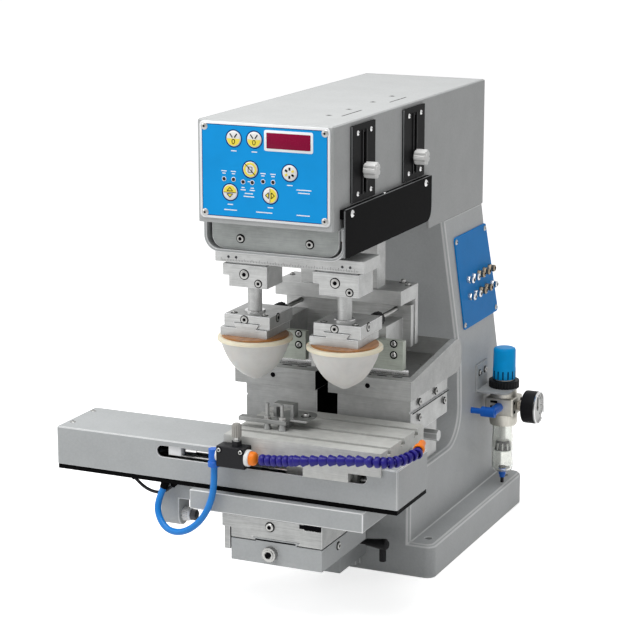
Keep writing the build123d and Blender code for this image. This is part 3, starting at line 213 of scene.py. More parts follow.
def milled(name, color, along="x", roughness=0.42, lines=0.25, metallic=1.0):
    """Milled or brushed metal, with its fine lines along one axis."""
    paint = Paint(name, color, metallic)
    brush = paint.noise(1500, 2, tuple(0.02 if axis == along else 1 for axis in "xyz"))
    cloud, stain = paint.noise(38, 4), paint.noise(130)
    tone = paint.shade(0.5 * cloud + 0.25 * stain + 0.45 * brush, 0.35, 0.85, 0.30)
    return paint.finish(tone, roughness + 0.22 * brush, brush, lines, 0.0003)


def polished(name, color, roughness=0.16):
    """Turned or plated metal, nearly smooth."""
    paint = Paint(name, color, 1.0)
    cloud = paint.noise(90)
    tone = paint.shade(cloud, 0.35, 0.8, 0.16)
    return paint.finish(tone, roughness + 0.12 * cloud, cloud, 0.04, 0.0003)


def moulded(name, color, roughness=0.38, shine=0.5):
    """Moulded plastic or rubber with a faint skin."""
    paint = Paint(name, color, shine=shine)
    skin, cloud = paint.noise(1100, 2), paint.noise(60)
    tone = paint.shade(cloud, 0.3, 0.8, 0.1)
    return paint.finish(tone, roughness + 0.12 * skin, skin, 0.06, 0.0003)


def hardwood(name, color):
    """Varnished wood, with growth rings as a stretched wave."""
    paint = Paint(name, color)
    grain, rings = paint.noise(320, 5, (1, 0.08, 1)), paint.noise(60, 2, (1, 0.3, 2))
    paint.feed(Coat_Weight=0.3)
    tone = paint.shade(0.6 * grain + 0.5 * rings, 0.3, 0.8, 0.45)
    return paint.finish(tone, 0.3 + 0.2 * grain, grain, 0.12, 0.0003)


def silicone(name, color):
    """Soft silicone: pale, slightly see-through, dusted with powder."""
    paint = Paint(name, color)
    dust, skin = paint.noise(70, 5), paint.noise(700, 2)
    radius = (0.006, 0.004, 0.003)
    paint.feed(Subsurface_Weight=0.25, Subsurface_Radius=radius, Subsurface_Scale=1.0)
    tone = paint.shade(dust, 0.35, 0.75, 0.07)
    return paint.finish(tone, 0.42 + 0.2 * dust, skin, 0.06, 0.0003)


def clear(name, color):
    """Clear moulded plastic of a filter bowl."""
    paint = Paint(name, color)
    smear = paint.noise(80)
    paint.feed(Transmission_Weight=0.9, IOR=1.3, Roughness=0.04 + 0.14 * smear)
    paint.feed(Base_Color=paint.shade(smear, 0.4, 0.8, 0.08))
    return paint.material


FINISHES = (
    # Painted light: the three enamels are copies of one hammered grey paint. Each is made a little
    # lighter or darker for the light that falls on its parts, and the base's copy is the lightest
    # because the lower machine gets the least light.
    (enamel, "grey_enamel", (0.41, 0.425, 0.43)),
    (enamel, "roof_enamel", (0.425, 0.435, 0.435)),
    (enamel, "base_enamel", (0.49, 0.505, 0.51)),
    # Painted highlight: pale enamel for the broken edges of painted castings.
    (satin, "worn_enamel", (0.70, 0.71, 0.71), 0.3),
    (satin, "blue_panel", (0.006, 0.30, 0.72), 0.42, 0.1),
    (satin, "panel_line", (0.006, 0.02, 0.13), 0.45, 0.1),
    (satin, "dark_blue_panel", (0.012, 0.24, 0.66), 0.42, 0.06),
    (satin, "white_ink", (0.84, 0.86, 0.88), 0.45),
    (satin, "black_paint", (0.003, 0.003, 0.0033), 0.5, 0.02),
    (satin, "plate_black", (0.005, 0.005, 0.0055), 0.45, 0.05),
    # Pale paint for the panel's frame, the thumb screw's disc and the slot slider, and a painted
    # highlight on the broken edges of milled parts.
    (satin, "lit_edge", (0.80, 0.81, 0.82), 0.35),
    # Painted highlight: dim grey for the edges of black plates.
    (satin, "dim_edge", (0.16, 0.165, 0.17), 0.4),
    (satin, "dial_white", (0.85, 0.85, 0.83), 0.4),
    (moulded, "valve_black", (0.012, 0.012, 0.014), 0.4, 0.15),
    # Painted shade: near-black for sockets, slits, slots and bores, and also the real dark seams
    # and ruler marks.
    (moulded, "dark_gap", (0.003, 0.003, 0.004), 0.7, 0.03),
    (moulded, "white_plastic", (0.78, 0.78, 0.77), 0.35, 0.3),
    (moulded, "yellow_plastic", (0.85, 0.70, 0.06), 0.35),
    (moulded, "black_plastic", (0.007, 0.007, 0.008), 0.42, 0.15),
    (moulded, "grey_plastic", (0.30, 0.29, 0.27), 0.45),
    (moulded, "red_window", (0.23, 0.002, 0.035), 0.2, 0.12),
    (moulded, "lamp_lens", (0.02, 0.006, 0.006), 0.25, 0.2),
    (moulded, "blue_knob", (0.002, 0.36, 0.82), 0.32, 0.12),
    (moulded, "blue_fitting", (0.010, 0.13, 0.58), 0.32, 0.25),
    (moulded, "violet", (0.015, 0.010, 0.20), 0.27, 0.25),
    (moulded, "orange", (0.90, 0.22, 0.010), 0.42, 0.35),
    (moulded, "air_tube", (0.006, 0.20, 0.62), 0.3, 0.3),
    (moulded, "cable_black", (0.010, 0.010, 0.014), 0.5, 0.3),
    (milled, "milled_x", (0.53, 0.535, 0.53), "x", 0.42, 0.25, 0.8),
    (milled, "milled_y", (0.56, 0.565, 0.56), "y"),
    (milled, "clamp_metal", (0.50, 0.505, 0.50), "x", 0.44),
    (milled, "table_metal", (0.62, 0.625, 0.60), "x", 0.5, 0.2, 0.2),
    (milled, "saddle_metal", (0.40, 0.405, 0.40), "x", 0.5, 0.15),
    (milled, "fixture_metal", (0.34, 0.345, 0.34), "x", 0.36, 0.1),
    (milled, "tray_steel", (0.44, 0.445, 0.44), "x", 0.42, 0.1, 0.5),
    (milled, "blade_green", (0.44, 0.47, 0.42), "x", 0.5, 0.15, 0.8),
    (milled, "nose_metal", (0.40, 0.42, 0.41), "x", 0.55, 0.15, 0.5),
    (milled, "body_metal", (0.62, 0.60, 0.54), "z", 0.4, 0.1),
    (polished, "polished", (0.66, 0.66, 0.66)),
    (polished, "screw_steel", (0.38, 0.38, 0.37), 0.24),
    (polished, "blued_steel", (0.06, 0.06, 0.065), 0.3),
    (polished, "nickel", (0.52, 0.48, 0.42), 0.22),
    (polished, "brown_metal", (0.30, 0.24, 0.17), 0.3),
    (silicone, "silicone", (0.72, 0.71, 0.68)),
    (silicone, "cream_rim", (0.78, 0.72, 0.56)),
    (hardwood, "wood", (0.42, 0.16, 0.024)),
    (clear, "clear_bowl", (0.92, 0.93, 0.90)),
)
LOOKS = {name: finish(name, *values) for finish, name, *values in FINISHES}
print("finishes", len(LOOKS))

# %% [markdown]
# ## Shapes from bmesh operators
#
# Nearly everything on this machine is a milled block, a turned pin or a moulded knob. So a shape
# grows in three ways: by blocks with broken edges, by profiles that are spun round an axis, and
# by flat outlines that are drawn out. At the end it becomes a piece that rides on its body, as a
# stand-in for a whole node or as an extra on it.

# %% Blocks, turned shapes, drawn-out outlines and pieces
RECORD = frame["record"]
BODIES = RECORD["behaviour"]["bodies"]
BODY_OF = {node: body for body, nodes in BODIES.items() for node in nodes}
SLOT_OF = {entry["node"]: entry["material_slot"] for entry in RECORD["subparts"]}
FACE_FRONT = Matrix.Rotation(math.radians(90), 4, "X")
FACE_RIGHT = Matrix(((0, 0, 1, 0), (1, 0, 0, 0), (0, 1, 0, 0), (0, 0, 0, 1)))
NEARLY_UP = 0.9999
SHARP_FROM = 32
STEEL = "machined_steel"


def connected(verts):
    """Every vertex joined to these by edges."""
    seen = wave = set(verts)
    while wave:
        wave = {e.other_vert(v) for v in wave for e in v.link_edges} - seen
        seen = seen | wave
    return seen


class Shape:
    """A bmesh in the making; every method that adds to it hands the shape back."""

    def __init__(self, bm=None):
        self.bm = bmesh.new() if bm is None else bm

    def put(self, verts, at, way):
        """Turn new vertices from +Z to a direction, or by a matrix, and move them to a place."""
        turn = way
        if not isinstance(way, Matrix):
            way = Vector(way).normalized()
            upright = way.z >= NEARLY_UP
            turn = Matrix() if upright else way.to_track_quat("Z", "Y").to_matrix().to_4x4()
        matrix = Matrix.Translation(Vector(at) * MM) @ turn
        bmesh.ops.transform(self.bm, matrix=matrix, verts=list(connected(verts)))
        return self

    def break_edges(self, edges, width, segments=2):
        """Round a set of edges over."""
        settings = {"offset_type": "OFFSET", "profile": 0.5, "affect": "EDGES", "material": -1}
        settings |= {"offset": width * MM, "segments": segments, "clamp_overlap": True}
        bmesh.ops.bevel(self.bm, geom=list(edges), **settings)

    def block(self, low, high, edge=0.4, segments=2):
        """Block between two corners, with its edges broken."""
        low, high = Vector(low) * MM, Vector(high) * MM
        matrix = Matrix.LocRotScale((low + high) / 2, None, high - low)
        made = bmesh.ops.create_cube(self.bm, size=1, matrix=matrix)["verts"]
        if edge:
            self.break_edges({e for v in made for e in v.link_edges}, edge, segments)
        return self

    def turned(self, profile, at, way=UP, steps=40):
        """Spin a line of (radius, height) pairs round an axis that starts at a place."""
        verts = [self.bm.verts.new((radius * MM, 0, height * MM)) for radius, height in profile]
        edges = [self.bm.edges.new(pair) for pair in zip(verts, verts[1:])]
        axis = {"axis": UP, "cent": (0, 0, 0), "angle": math.tau, "steps": steps}
        bmesh.ops.spin(self.bm, geom=verts + edges, use_merge=True, use_duplicate=False, **axis)
        return self.put(verts, at, way)

    def drawn(self, points, depth, at=(0, 0, 0), way=UP, edge=0.0):
        """Flat outline of (x, y) points, drawn out along +Z, then turned and moved."""
        verts = [self.bm.verts.new((x * MM, y * MM, 0)) for x, y in points]
        out = bmesh.ops.extrude_face_region(self.bm, geom=[self.bm.faces.new(verts)])
        far = [v for v in out["geom"] if isinstance(v, bmesh.types.BMVert)]
        bmesh.ops.translate(self.bm, vec=(0, 0, depth * MM), verts=far)
        if edge:
            rim = {e for v in far for e in v.link_edges if e.other_vert(v) in far}
            self.break_edges(rim, edge)
        return self.put(verts, at, way)

    def extra(self, name, look, node, slot=None, smooth=SHARP_FROM):
        """Finish it as a piece that goes on a node: join, turn faces out, shade and paint."""
        bmesh.ops.remove_doubles(self.bm, verts=self.bm.verts, dist=1e-6)
        bmesh.ops.recalc_face_normals(self.bm, faces=self.bm.faces)
        mesh = bpy.data.meshes.new(name)
        self.bm.to_mesh(mesh)
        self.bm.free()
        mesh.shade_smooth()
        mesh.set_sharp_from_angle(angle=math.radians(smooth))
        made = bpy.data.objects.new(name, mesh)
        bpy.context.scene.collection.objects.link(made)
        for paint in (look,) if isinstance(look, str) else look:
            mesh.materials.append(LOOKS[paint])
        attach(made, BODY_OF[node])
        slot or SLOT_OF[node]
        return made

    def stand_in(self, name, look, node, smooth=SHARP_FROM):
        """Finish it as a piece that replaces a whole node."""
        made = self.extra(name, look, node, smooth=smooth)
        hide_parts(node)
        return made


# %% Outlines


def ring_points(radius, count, start=0.0):
    """Points round a circle."""
    turns = [start + math.tau * i / count for i in range(count)]
    return [(radius * math.cos(t), radius * math.sin(t)) for t in turns]


def rectangle(half_width, half_height):
    """The four corners of an upright rectangle about the middle."""
    x, y = half_width, half_height
    return [(-x, -y), (x, -y), (x, y), (-x, y)]


def lobed(radius, depth, count):
    """Outline with round lobes and narrow valleys."""
    points = []
    for turn in (math.tau * i / (count * 8) for i in range(count * 8)):
        reach = radius - depth * max(0.0, math.cos(turn * count)) ** 3
        points.append((reach * math.cos(turn), reach * math.sin(turn)))
    return points


# %% [markdown]
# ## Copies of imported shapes
#
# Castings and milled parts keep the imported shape: it is copied, its doubles are merged, and a
# Bevel modifier breaks every sharp edge, because paint and grinding leave a thin line of light
# there.

# %% Copies with broken edges


def corners(node):
    """A node's two corners and its middle, in millimetres."""
    low, high = (Vector(corner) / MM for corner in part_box(node))
    return low, high, (low + high) / 2


def merged(node):
    """A bmesh copy of a node, with its doubles and its flat triangles joined."""
    bm = bmesh.new()
    bm.from_mesh(frame["nodes"][node].data)
    bmesh.ops.remove_doubles(bm, verts=bm.verts, dist=2e-6)
    bmesh.ops.dissolve_limit(bm, angle_limit=math.radians(1), verts=bm.verts, edges=bm.edges)
    return bm


def solids_in(bm):
    """Each separate solid from the left: vertices, corners and middle in millimetres."""
    seen, found = set(), []
    for start in bm.verts:
        if start not in seen:
            group = connected([start])
            seen |= group
            spans = [[v.co[i] / MM for v in group] for i in range(3)]
            low, high = Vector(map(min, spans)), Vector(map(max, spans))
            found.append((group, low, high, (low + high) / 2))
    return sorted(found, key=lambda one: tuple(round(v, 1) for v in 2 * one[3]))


def broken(node, look, edge=0.6, segments=2, change=None, worn=None, clamp=True):
    """A copy of a node with its sharp edges broken.

    Several looks are given as one look for each solid, counted from the left. An edge highlight
    look is given to the broken edges alone, as a painted highlight where the edges catch the light.
    """
    bm = merged(node)
    if change:
        change(bm)
    looks = (look,)
    if not isinstance(look, str):
        looks = tuple(dict.fromkeys(look))
        for (group, *_), name in zip(solids_in(bm), look):
            for face in {f for v in group for f in v.link_faces}:
                face.material_index = looks.index(name)
    made = Shape(bm).stand_in(node + "_finished", looks, node)
    bevel = made.modifiers.new("edges", "BEVEL")
    bevel.width = edge * MM
    bevel.segments = segments
    bevel.limit_method = "ANGLE"
    bevel.angle_limit = math.radians(SHARP_FROM)
    bevel.harden_normals = True
    bevel.use_clamp_overlap = clamp
    # Painted highlight: the bevel's faces take the lighter edge look.
    if worn:
        made.data.materials.append(LOOKS[worn])
        bevel.material = len(made.data.materials) - 1


# %% [markdown]
# ## Screws
#
# The machine is held together by socket screws and a few pan-head screws, and each catches the
# light as a bright ring with a dark middle. A turned head with a dark hexagon of painted shade
# for its socket is enough at this size, and one function places them all.

# %% Socket screws and pan-head screws
SEAT = 1.2


def socket_screw(head, dark, at, way, radius, height):
    """Cylinder head with a chamfer; its hexagon and its seat, painted shade in the socket and round
    the head, are a second mesh.
    """
    inner, floor = radius * 0.52, height * 0.35
    profile = [(0.01, floor), (inner, floor), (inner, height), (radius * 0.86, height)]
    head.turned([*profile, (radius, height * 0.72), (radius, 0), (0.01, 0)], at, way, 28)
    seat = [(radius + SEAT, -0.2), (radius + SEAT, 0.15), (radius * 0.96, 0.15)]
    top = Vector(at) + Vector(way) * height * 0.4
    dark.turned(seat, at, way, 28).drawn(ring_points(inner * 0.98, 6), height * 0.2, top, way)


def pan_screw(head, dark, at, way, radius, height):
    """Domed head with a small recess in painted shade."""
    profile = [(radius * out, height * up) for out, up in ((0.45, 0.96), (0.8, 0.7), (1, 0.25))]
    head.turned([(0.01, height), *profile, (radius, 0), (0.01, 0)], at, way, 28)
    top = Vector(at) + Vector(way) * height * 0.84
    dark.drawn(ring_points(radius * 0.34, 6), height * 0.2, top, way)


def screws(name, node, *sets, kind=socket_screw, look="screw_steel"):
    """Screws on one node. Each set has its places, direction, radius and height."""
    heads, dark = Shape(), Shape()
    for places, way, radius, height in sets:
        for at in places:
            kind(heads, dark, at, way, radius, height)
    heads.extra(name + "_heads", look, node, STEEL)
    # Painted shade: dark hexagons for the sockets and dark rings round the heads.
    dark.extra(name + "_socket_shade", "dark_gap", node, STEEL)


# %% [markdown]
# ## Base, column and head
#
# The base and column are one casting, and the head is a folded sheet case. Clamping of the
# casting's bevel is off, because its shortest edges would keep the others from being rounded.

# %% Castings and case, with the roof's screws and slits
ROOF_SINK = 0.3
ROOF_SCREW_X = 42.0
ROOF_SCREWS_Y = (-328.0, -271.0, -199.0, -139.0)
ROOF_SLITS = ((58.0, -328.0, -271.0), (61.0, -193.0, -141.0))


def sink_roof(bm):
    """Lower the roof a little, so that its screws end at the case's real height."""
    top = max(v.co.z for v in bm.verts)
    raised = [v for v in bm.verts if v.co.z > top - MM * 0.1]
    bmesh.ops.translate(bm, vec=(0, 0, -ROOF_SINK * MM), verts=raised)


def roof_details():
    """Countersunk screws that sit just under the roof's face, with painted shade in their sockets,
    and painted shade for two slits.
    """
    roof = corners("head_casing")[1].z - ROOF_SINK
    heads, holes, slits = Shape(), Shape(), Shape()
    for y in ROOF_SCREWS_Y:
        profile = [(0.01, 0.24), (3.2, 0.24), (4.0, 0.04), (4.0, -0.4)]
        heads.turned(profile, (ROOF_SCREW_X, y, roof))
        holes.drawn(ring_points(2.1, 6), 0.1, (ROOF_SCREW_X, y, roof + 0.19))
    for x, front, back in ROOF_SLITS:
        slits.block((x - 0.75, front, roof - 0.3), (x + 0.75, back, roof + 0.12), 0)
    heads.extra("roof_screw_heads", "fixture_metal", "head_casing", STEEL)
    holes.extra("roof_screw_socket_shade", "dark_gap", "head_casing", STEEL)
    slits.extra("roof_slit_shade", "dark_gap", "head_casing")


broken("base_casting", "base_enamel", 1.3, 3, worn="worn_enamel", clamp=False)
broken("head_casing", "roof_enamel", 1.0, 3, sink_roof)
broken("pedestals", "milled_x", worn="lit_edge")
roof_details()

# %% [markdown]
# ## The control panel
#
# A printed foil covers a thin plate: bright blue inside a pale frame, a framed window for the
# display, six round keys and a row of lamps. The foil's print is modelled as very thin raised
# shapes, so that it needs no image.

# %% Panel plate, blue field, and display window with its pale frame
PANEL_LOW, PANEL_HIGH, _ = corners("control_panel")
PANEL_FACE = PANEL_LOW.y
FRAME_WIDTH = 3.0
PRINT = 0.16
FIELD_LAYERS = (("panel_line", 0, 3.4, 0.12), ("blue_panel", 0.8, 2.8, PRINT))
SCREW_INSET = 6.2


def rounded(low, high, margin, radius, count=5):
    """Points of a rectangle with round corners, a margin inside two corners in X and Z."""
    inset = margin + radius
    right, left = high.x - inset, low.x + inset
    top, bottom = high.z - inset, low.z + inset
    points = []
    for quarter, (x, z) in enumerate(((right, top), (left, top), (left, bottom), (right, bottom))):
        for i in range(count + 1):
            turn = math.pi / 2 * (quarter + i / count)
            points.append((x + radius * math.cos(turn), z + radius * math.sin(turn)))
    return points


def raised(points, depth, lift=0.0, edge=0.0):
    """Outline that stands out to the front, from a lift in front of the panel's face."""
    return Shape().drawn(points, depth, (0, PANEL_FACE - lift, 0), FACE_FRONT, edge)


def panel_plate():
    """The plate, the blue sheet with its dark line, and a screw in each corner."""
    low, high, node = PANEL_LOW, PANEL_HIGH, "control_panel"
    back = high.y - low.y
    raised(rounded(low, high, 0, 5.0), back, -back, 0.5).stand_in("panel_plate", "lit_edge", node)
    for look, margin, radius, depth in FIELD_LAYERS:
        field = raised(rounded(low, high, FRAME_WIDTH + margin, radius), depth)
        field.extra(look + "_sheet", look, node, "blue_paint")
    x, heights = high.x - SCREW_INSET, (low.z + SCREW_INSET, high.z - SCREW_INSET)
    places = [(side, low.y, z) for side in (-x, x) for z in heights]
    screws("panel_screw", node, (places, FRONT, 4.2, 1.4), kind=pan_screw)


def display():
    low, high, _ = corners("display_window")
    rim = raised(rounded(low, high, -3, 2.4), 0.3, PRINT, 0.1)
    rim.extra("display_frame", "white_ink", "display_window")
    pane = raised(rounded(low, high, 0, 0.8), 0.55, PRINT, 0.15)
    pane.stand_in("display_pane", "red_window", "display_window")


panel_plate()
display()

# %% Signs of the keys: yellow outlines, then black or coloured bars
SIGN_OF = {
    "pad_button_left": "down",
    "pad_button_right": "down",
    "mode_button": "slant",
    "cycle_button": "dots",
    "lift_button": "lift",
    "shuttle_button": "sides",
}


def bars(width, *path):
    """Thin straight marks along a path of points."""
    marks = []
    for start, end in zip(map(Vector, path), map(Vector, path[1:])):
        way = (end - start).normalized() * width / 2
        off = Vector((-way.y, way.x))
        marks.append([start + off, start - off, end - off, end + off])
    return marks


def oval(across, up, middle, count):
    """Closed path round an ellipse."""
    points = ring_points(1, count)
    return [(across * x, up * z + middle) for x, z in (*points, points[0])]


def half_disc(radius, start):
    """Half disc from an angle, counted from +X."""
    return ring_points(radius, 36, start)[:19]


def arrows(radius, half):
    """A half disc, a parting line and two outlined arrow heads, one above and one below."""
    yellow = [half_disc(radius, 0), [(-half, -1.7), (0, -5.6), (half, -1.7)]]
    black = bars(0.5, (-radius, 0), (radius, 0))
    for side in (-1, 1):
        foot, tip = 1.7 * side, (0, 5.6 * side)
        black += bars(0.7, (-half, foot), (half, foot), tip, (-half, foot))
    return yellow, black


def sign_shapes(sign, radius):
    """Yellow outlines, black outlines and how far each set is raised."""
    if sign == "down":
        black = bars(0.8, *oval(1.7, 2.7, -3.2, 10))
        for side in (-1, 1):
            black += bars(1.3, (side * 4.4, 5.6), (side * 1.2, 1.2))
        return [half_disc(radius * 0.9, math.pi)], black, 0.02, 0.16
    if sign == "slant":
        reach = radius * 0.78
        black = bars(0.8, (-6.2, 6.2), (6.2, -6.2))
        black += bars(0.6, (-2.4, -3.0), (-2.4, 3.0), (2.4, 3.0), (2.4, -3.0), (-2.4, -3.0))
        return bars(2.4, *oval(reach, reach, 0, 24)), black, 0.02, 0.18
    if sign == "dots":
        ways = [Vector(point) for point in ring_points(1, 6, 0.5)]
        marks = [bars(2.2, way * 3.0, way * 6.2)[0] for way in ways]
        return marks[::3], marks[1:3] + marks[4:], 0.16, 0.16
    if sign == "lift":
        return *arrows(radius * 0.9, 3.6), 0.02, 0.18
    swapped = [[[(z, x) for x, z in shape] for shape in one] for one in arrows(radius * 0.9, 3.4)]
    return *swapped, 0.02, 0.18


# %% Round keys: a thin dark ring, a domed cap and a printed sign


def key_cap(name, sign):
    """A domed round cap with its sign as thin raised print."""
    low, high, (x, _, z) = corners(name)
    radius, front = (high.x - low.x) / 2, low.y
    profile = [(0.01, 1.3), (radius * 0.7, 1.25), (radius * 0.93, 1.0), (radius, 0.5), (radius, 0)]
    cap = Shape().turned(profile, (x, front + 1.7, z), FRONT, 48)
    cap.stand_in(name + "_cap", "white_plastic", name)
    yellow, black, *lifts = sign_shapes(sign, radius)
    looks = ("_colour", "yellow_plastic"), ("_sign", "black_paint")
    for (suffix, look), shapes, lift in zip(looks, (yellow, black), lifts):
        print_ = Shape()
        for points in shapes:
            print_.drawn(points, 0.1, (x, front + 0.4 - lift, z), FACE_FRONT)
        print_.extra(name + suffix, look, name)
    inside, outside = radius + 0.2, radius + 1.3
    edge = [(outside, 0), (outside, 0.25), (inside, 0.25), (inside, 0)]
    ring = Shape().turned(edge, (x, PANEL_FACE - PRINT + 0.05, z), FRONT, 48)
    ring.extra(name + "_ring", "panel_line", "control_panel", "blue_paint")


for key, sign in SIGN_OF.items():
    key_cap(key, sign)

# %% Lamps in a row, and short white dashes beside the lamps and keys
LAMPS = [(x, 533.5, 1) for x in (-49.8, -38.0, -1.2, 11.2)]
LAMPS += [(x, 531.5, -1) for x in (-26.0, -14.6)]
DASHES = [(49.0, 527.0, 9.0), (49.0, 523.6, 7.0), (-19.0, 518.6, 5.0), (-19.0, 515.2, 6.5)]
DASHES += [(-42.0, 498.5, 8.0), (0.0, 498.5, 10.0), (48.0, 498.5, 8.0)]


def lamps():
    rings, lights, marks = Shape(), Shape(), Shape()
    face, dashes, node = PANEL_FACE - PRINT, list(DASHES), "control_panel"
    for x, z, side in LAMPS:
        rings.turned([(2.7, 0), (2.7, 0.3), (2.2, 0.4), (2.1, 0)], (x, face, z), FRONT, 24)
        lights.turned([(0.01, 0.9), (1.4, 0.7), (2.1, 0.1), (2.1, 0)], (x, face, z), FRONT, 20)
        dashes += [(x, z + side * 6.4, 2.0), (x, z + side * 9.0, 3.2)]
    for name in SIGN_OF:
        low, _, middle = corners(name)
        dashes.append((middle.x, low.z - 5.0, 3.4))
    for x, z, half in dashes:
        marks.drawn(rectangle(half, 0.55), PRINT, (x, face, z), FACE_FRONT)
    rings.extra("lamp_rings", "white_ink", node, "white_plastic")
    lights.extra("lamp_lights", "lamp_lens", node, "red_window")
    marks.extra("panel_marks", "white_ink", node, "white_plastic")


lamps()

# %% [markdown]
# ## Black slot plates, side cover and stroke stops
#
# The plates are sprayed black, and their front edges carry a painted highlight as dim grey lines.
# Each has a screw near every corner and a slotted rail in the middle, in which a white lobed knob
# slides.

# %% Slot plates with rails and screws, and the side cover with its painted rim highlight
PLATE_HALF = 33.0
RAIL_OFFSET = 5.4
PLAIN = {"kind": pan_screw, "look": "polished"}


def slot_plates():
    broken("slot_plates", "plate_black", 0.5)
    low, high, _ = corners("slot_plates")
    x, foot, head = high.x, low.z, high.z
    places, rails, edges = [], Shape(), Shape()
    for y in (low.y + PLATE_HALF, high.y - PLATE_HALF):
        places += [(x, y + step, z) for z in (foot + 9, head - 9) for step in (-19, 19)]
        for rail in (y - RAIL_OFFSET, y + RAIL_OFFSET):
            rails.block((x - 0.2, rail - 1.2, foot + 7), (x + 1.2, rail + 1.2, head - 7), 0.3)
        y -= PLATE_HALF
        # Painted highlight: a dim grey line along each plate's front edge.
        edges.block((x - 1.6, y - 0.3, foot + 0.6), (x - 0.3, y + 0.3, head - 0.6), 0.1)
    rails.extra("slot_rails", "black_plastic", "slot_plates")
    edges.extra("slot_plate_edge_highlights", "dim_edge", "slot_plates")
    screws("slot_plate_screw", "slot_plates", (places, RIGHT, 3.0, 1.8), **PLAIN)


def side_cover():
    broken("side_cover", "black_paint", 0.5)
    low, (x, y, z), middle = corners("side_cover")
    # Painted highlight: dim grey lines along the cover's front, top and back edges.
    rim = Shape().block((x - 1.8, low.y - 0.3, low.z + 1), (x - 0.2, low.y + 0.35, z - 1), 0.1)
    rim.block((x - 1.8, low.y + 1, z - 0.3), (x - 0.2, y - 1, z + 0.3), 0.1)
    rim.block((x - 0.3, y - 0.4, low.z + 16), (x + 0.15, y + 0.3, z - 1), 0.1)
    rim.extra("side_cover_rim_highlight", "dim_edge", "side_cover")
    sides, stud = [(x, -375.0, z - 6.5), (x, -150.0, z - 6.5)], [(middle.x, -271.5, z)]
    sets = (sides, RIGHT, 4.4, 2.4), (stud, UP, 1.8, 1.2)
    screws("side_cover_screw", "side_cover", *sets, **PLAIN)


slot_plates()
side_cover()

# %% Stroke stops: a white knob with deep lobes on a collar, with its stud and nut
STOP_KNOB = 13.6


def stroke_stop(node):
    low, high, (_, y, z) = corners(node)
    start = high.x - STOP_KNOB
    outline = lobed((high.z - low.z) / 2 + 0.2, 2.6, 7)
    knob = Shape().drawn(outline, STOP_KNOB, (start, y, z), RIGHT, 0.8)
    knob.turned([(0.01, 0.6), (5.0, 0.6), (5.6, -0.4)], (high.x, y, z), RIGHT)
    knob.turned([(6.4, 0), (6.4, 2.2)], (start - 2.2, y, z), RIGHT)
    knob.stand_in(node + "_knob", "white_plastic", node, 40)
    stud = Shape().turned([(0.01, 0), (3.0, 0), (3.0, 9)], (start - 9, y, z), RIGHT, 24)
    stud.block((start - 16, y - 5.6, z - 5.6), (start - 8.6, y + 5.6, z + 5.6))
    stud.extra(node + "_stud", "screw_steel", node, STEEL)


stroke_stop("stroke_stop_front")
stroke_stop("stroke_stop_rear")

# %% [markdown]
# ## Nose, holder bar and clamps
#
# The nose is a bent steel strip round the moving carriage, closed by a plate. Below it, a milled
# bar with ruler marks carries two clamps, and each clamp holds the round shaft of a pad holder.

# %% Nose, holder bar with ruler marks, and clamps
NOSE_SCREWS = [(x, -384.0, 460.5) for x in (-43.5, 43.5)]
MARKS = 88
MARK_PITCH = 2.0
FIRST_MARK = 8.0
SHORT_MARK, LONG_MARK = 2.0, 3.4
PAD_X = (-58.0, 58.0)


def holder_bar():
    broken("holder_bar", "milled_x", 0.5)
    low, _, _ = corners("holder_bar")
    foot, marks = low.z + 1.4, Shape()
    for i in range(MARKS):
        x = low.x + FIRST_MARK + MARK_PITCH * i
        top = foot + (SHORT_MARK if i % 5 else LONG_MARK)
        marks.block((x - 0.18, low.y - 0.08, foot), (x + 0.18, low.y + 0.3, top), 0)
    marks.extra("bar_marks", "dark_gap", "holder_bar")
    pins = [(x, low.y, 429.8) for x in (67.6, 77.5, -67.6, -77.5)]
    look = {"kind": pan_screw, "look": "blued_steel"}
    screws("bar_pin", "holder_bar", (pins, FRONT, 1.7, 0.3), **look)


def clamps():
    broken("pad_clamps", "clamp_metal", worn="lit_edge")
    y = corners("pad_clamps")[0].y
    big = [(x - 0.7, y, 409.4) for x in PAD_X]
    small = [(x + 17.4, y, 399.8) for x in PAD_X]
    screws("clamp_screw", "pad_clamps", (big, FRONT, 5.2, 0.9), (small, FRONT, 3.9, 0.8))


broken("nose_cover", ("nose_metal", "grey_enamel"), 1.0, 3, worn="worn_enamel")
screws("nose_screw", "nose_cover", (NOSE_SCREWS, FRONT, 4.2, 2.0))
holder_bar()
clamps()

# %% Dovetail holders with their shafts' collars, plates and wooden backs
HOLDER_TOP = 359.5
SHAFT_Y = -318.0


def holders():
    broken("pad_holders", "clamp_metal", 0.7, worn="lit_edge")
    broken("pad_plates", "clamp_metal", 0.4, worn="lit_edge")
    front, side, top, collars = [], [], [], Shape()
    for _, low, high, (x, _, _) in solids_in(merged("pad_holders")):
        front.append((x - 3.0, low.y, 354.0))
        side.append((high.x, SHAFT_Y, 355.0))
        top += [(x + step, low.y + 8.0, HOLDER_TOP) for step in (-20.0, 20.0)]
        profile = [(8.7, 0), (12.4, 0), (12.4, 2.2), (11.8, 2.8), (8.7, 2.8)]
        collars.turned(profile, (x, SHAFT_Y, HOLDER_TOP))
    sets = (front, FRONT, 4.2, 0.8), (side, RIGHT, 4.4, 0.8), (top, UP, 3.0, 1.6)
    screws("holder_screw", "pad_holders", *sets)
    collars.extra("shaft_collars", "polished", "pad_holders")


def backs():
    """Round wooden discs with a soft edge, under the plates."""
    discs = Shape()
    for _, low, high, (x, y, _) in solids_in(merged("pad_backs")):
        radius, height = (high.x - low.x) / 2, high.z - low.z
        profile = [(0.01, height), (radius - 0.8, height), (radius, height - 0.8), (radius, 0)]
        discs.turned([*profile, (0.01, 0)], (x, y, low.z), steps=72)
    discs.stand_in("wooden_backs", "wood", "pad_backs")


holders()
backs()

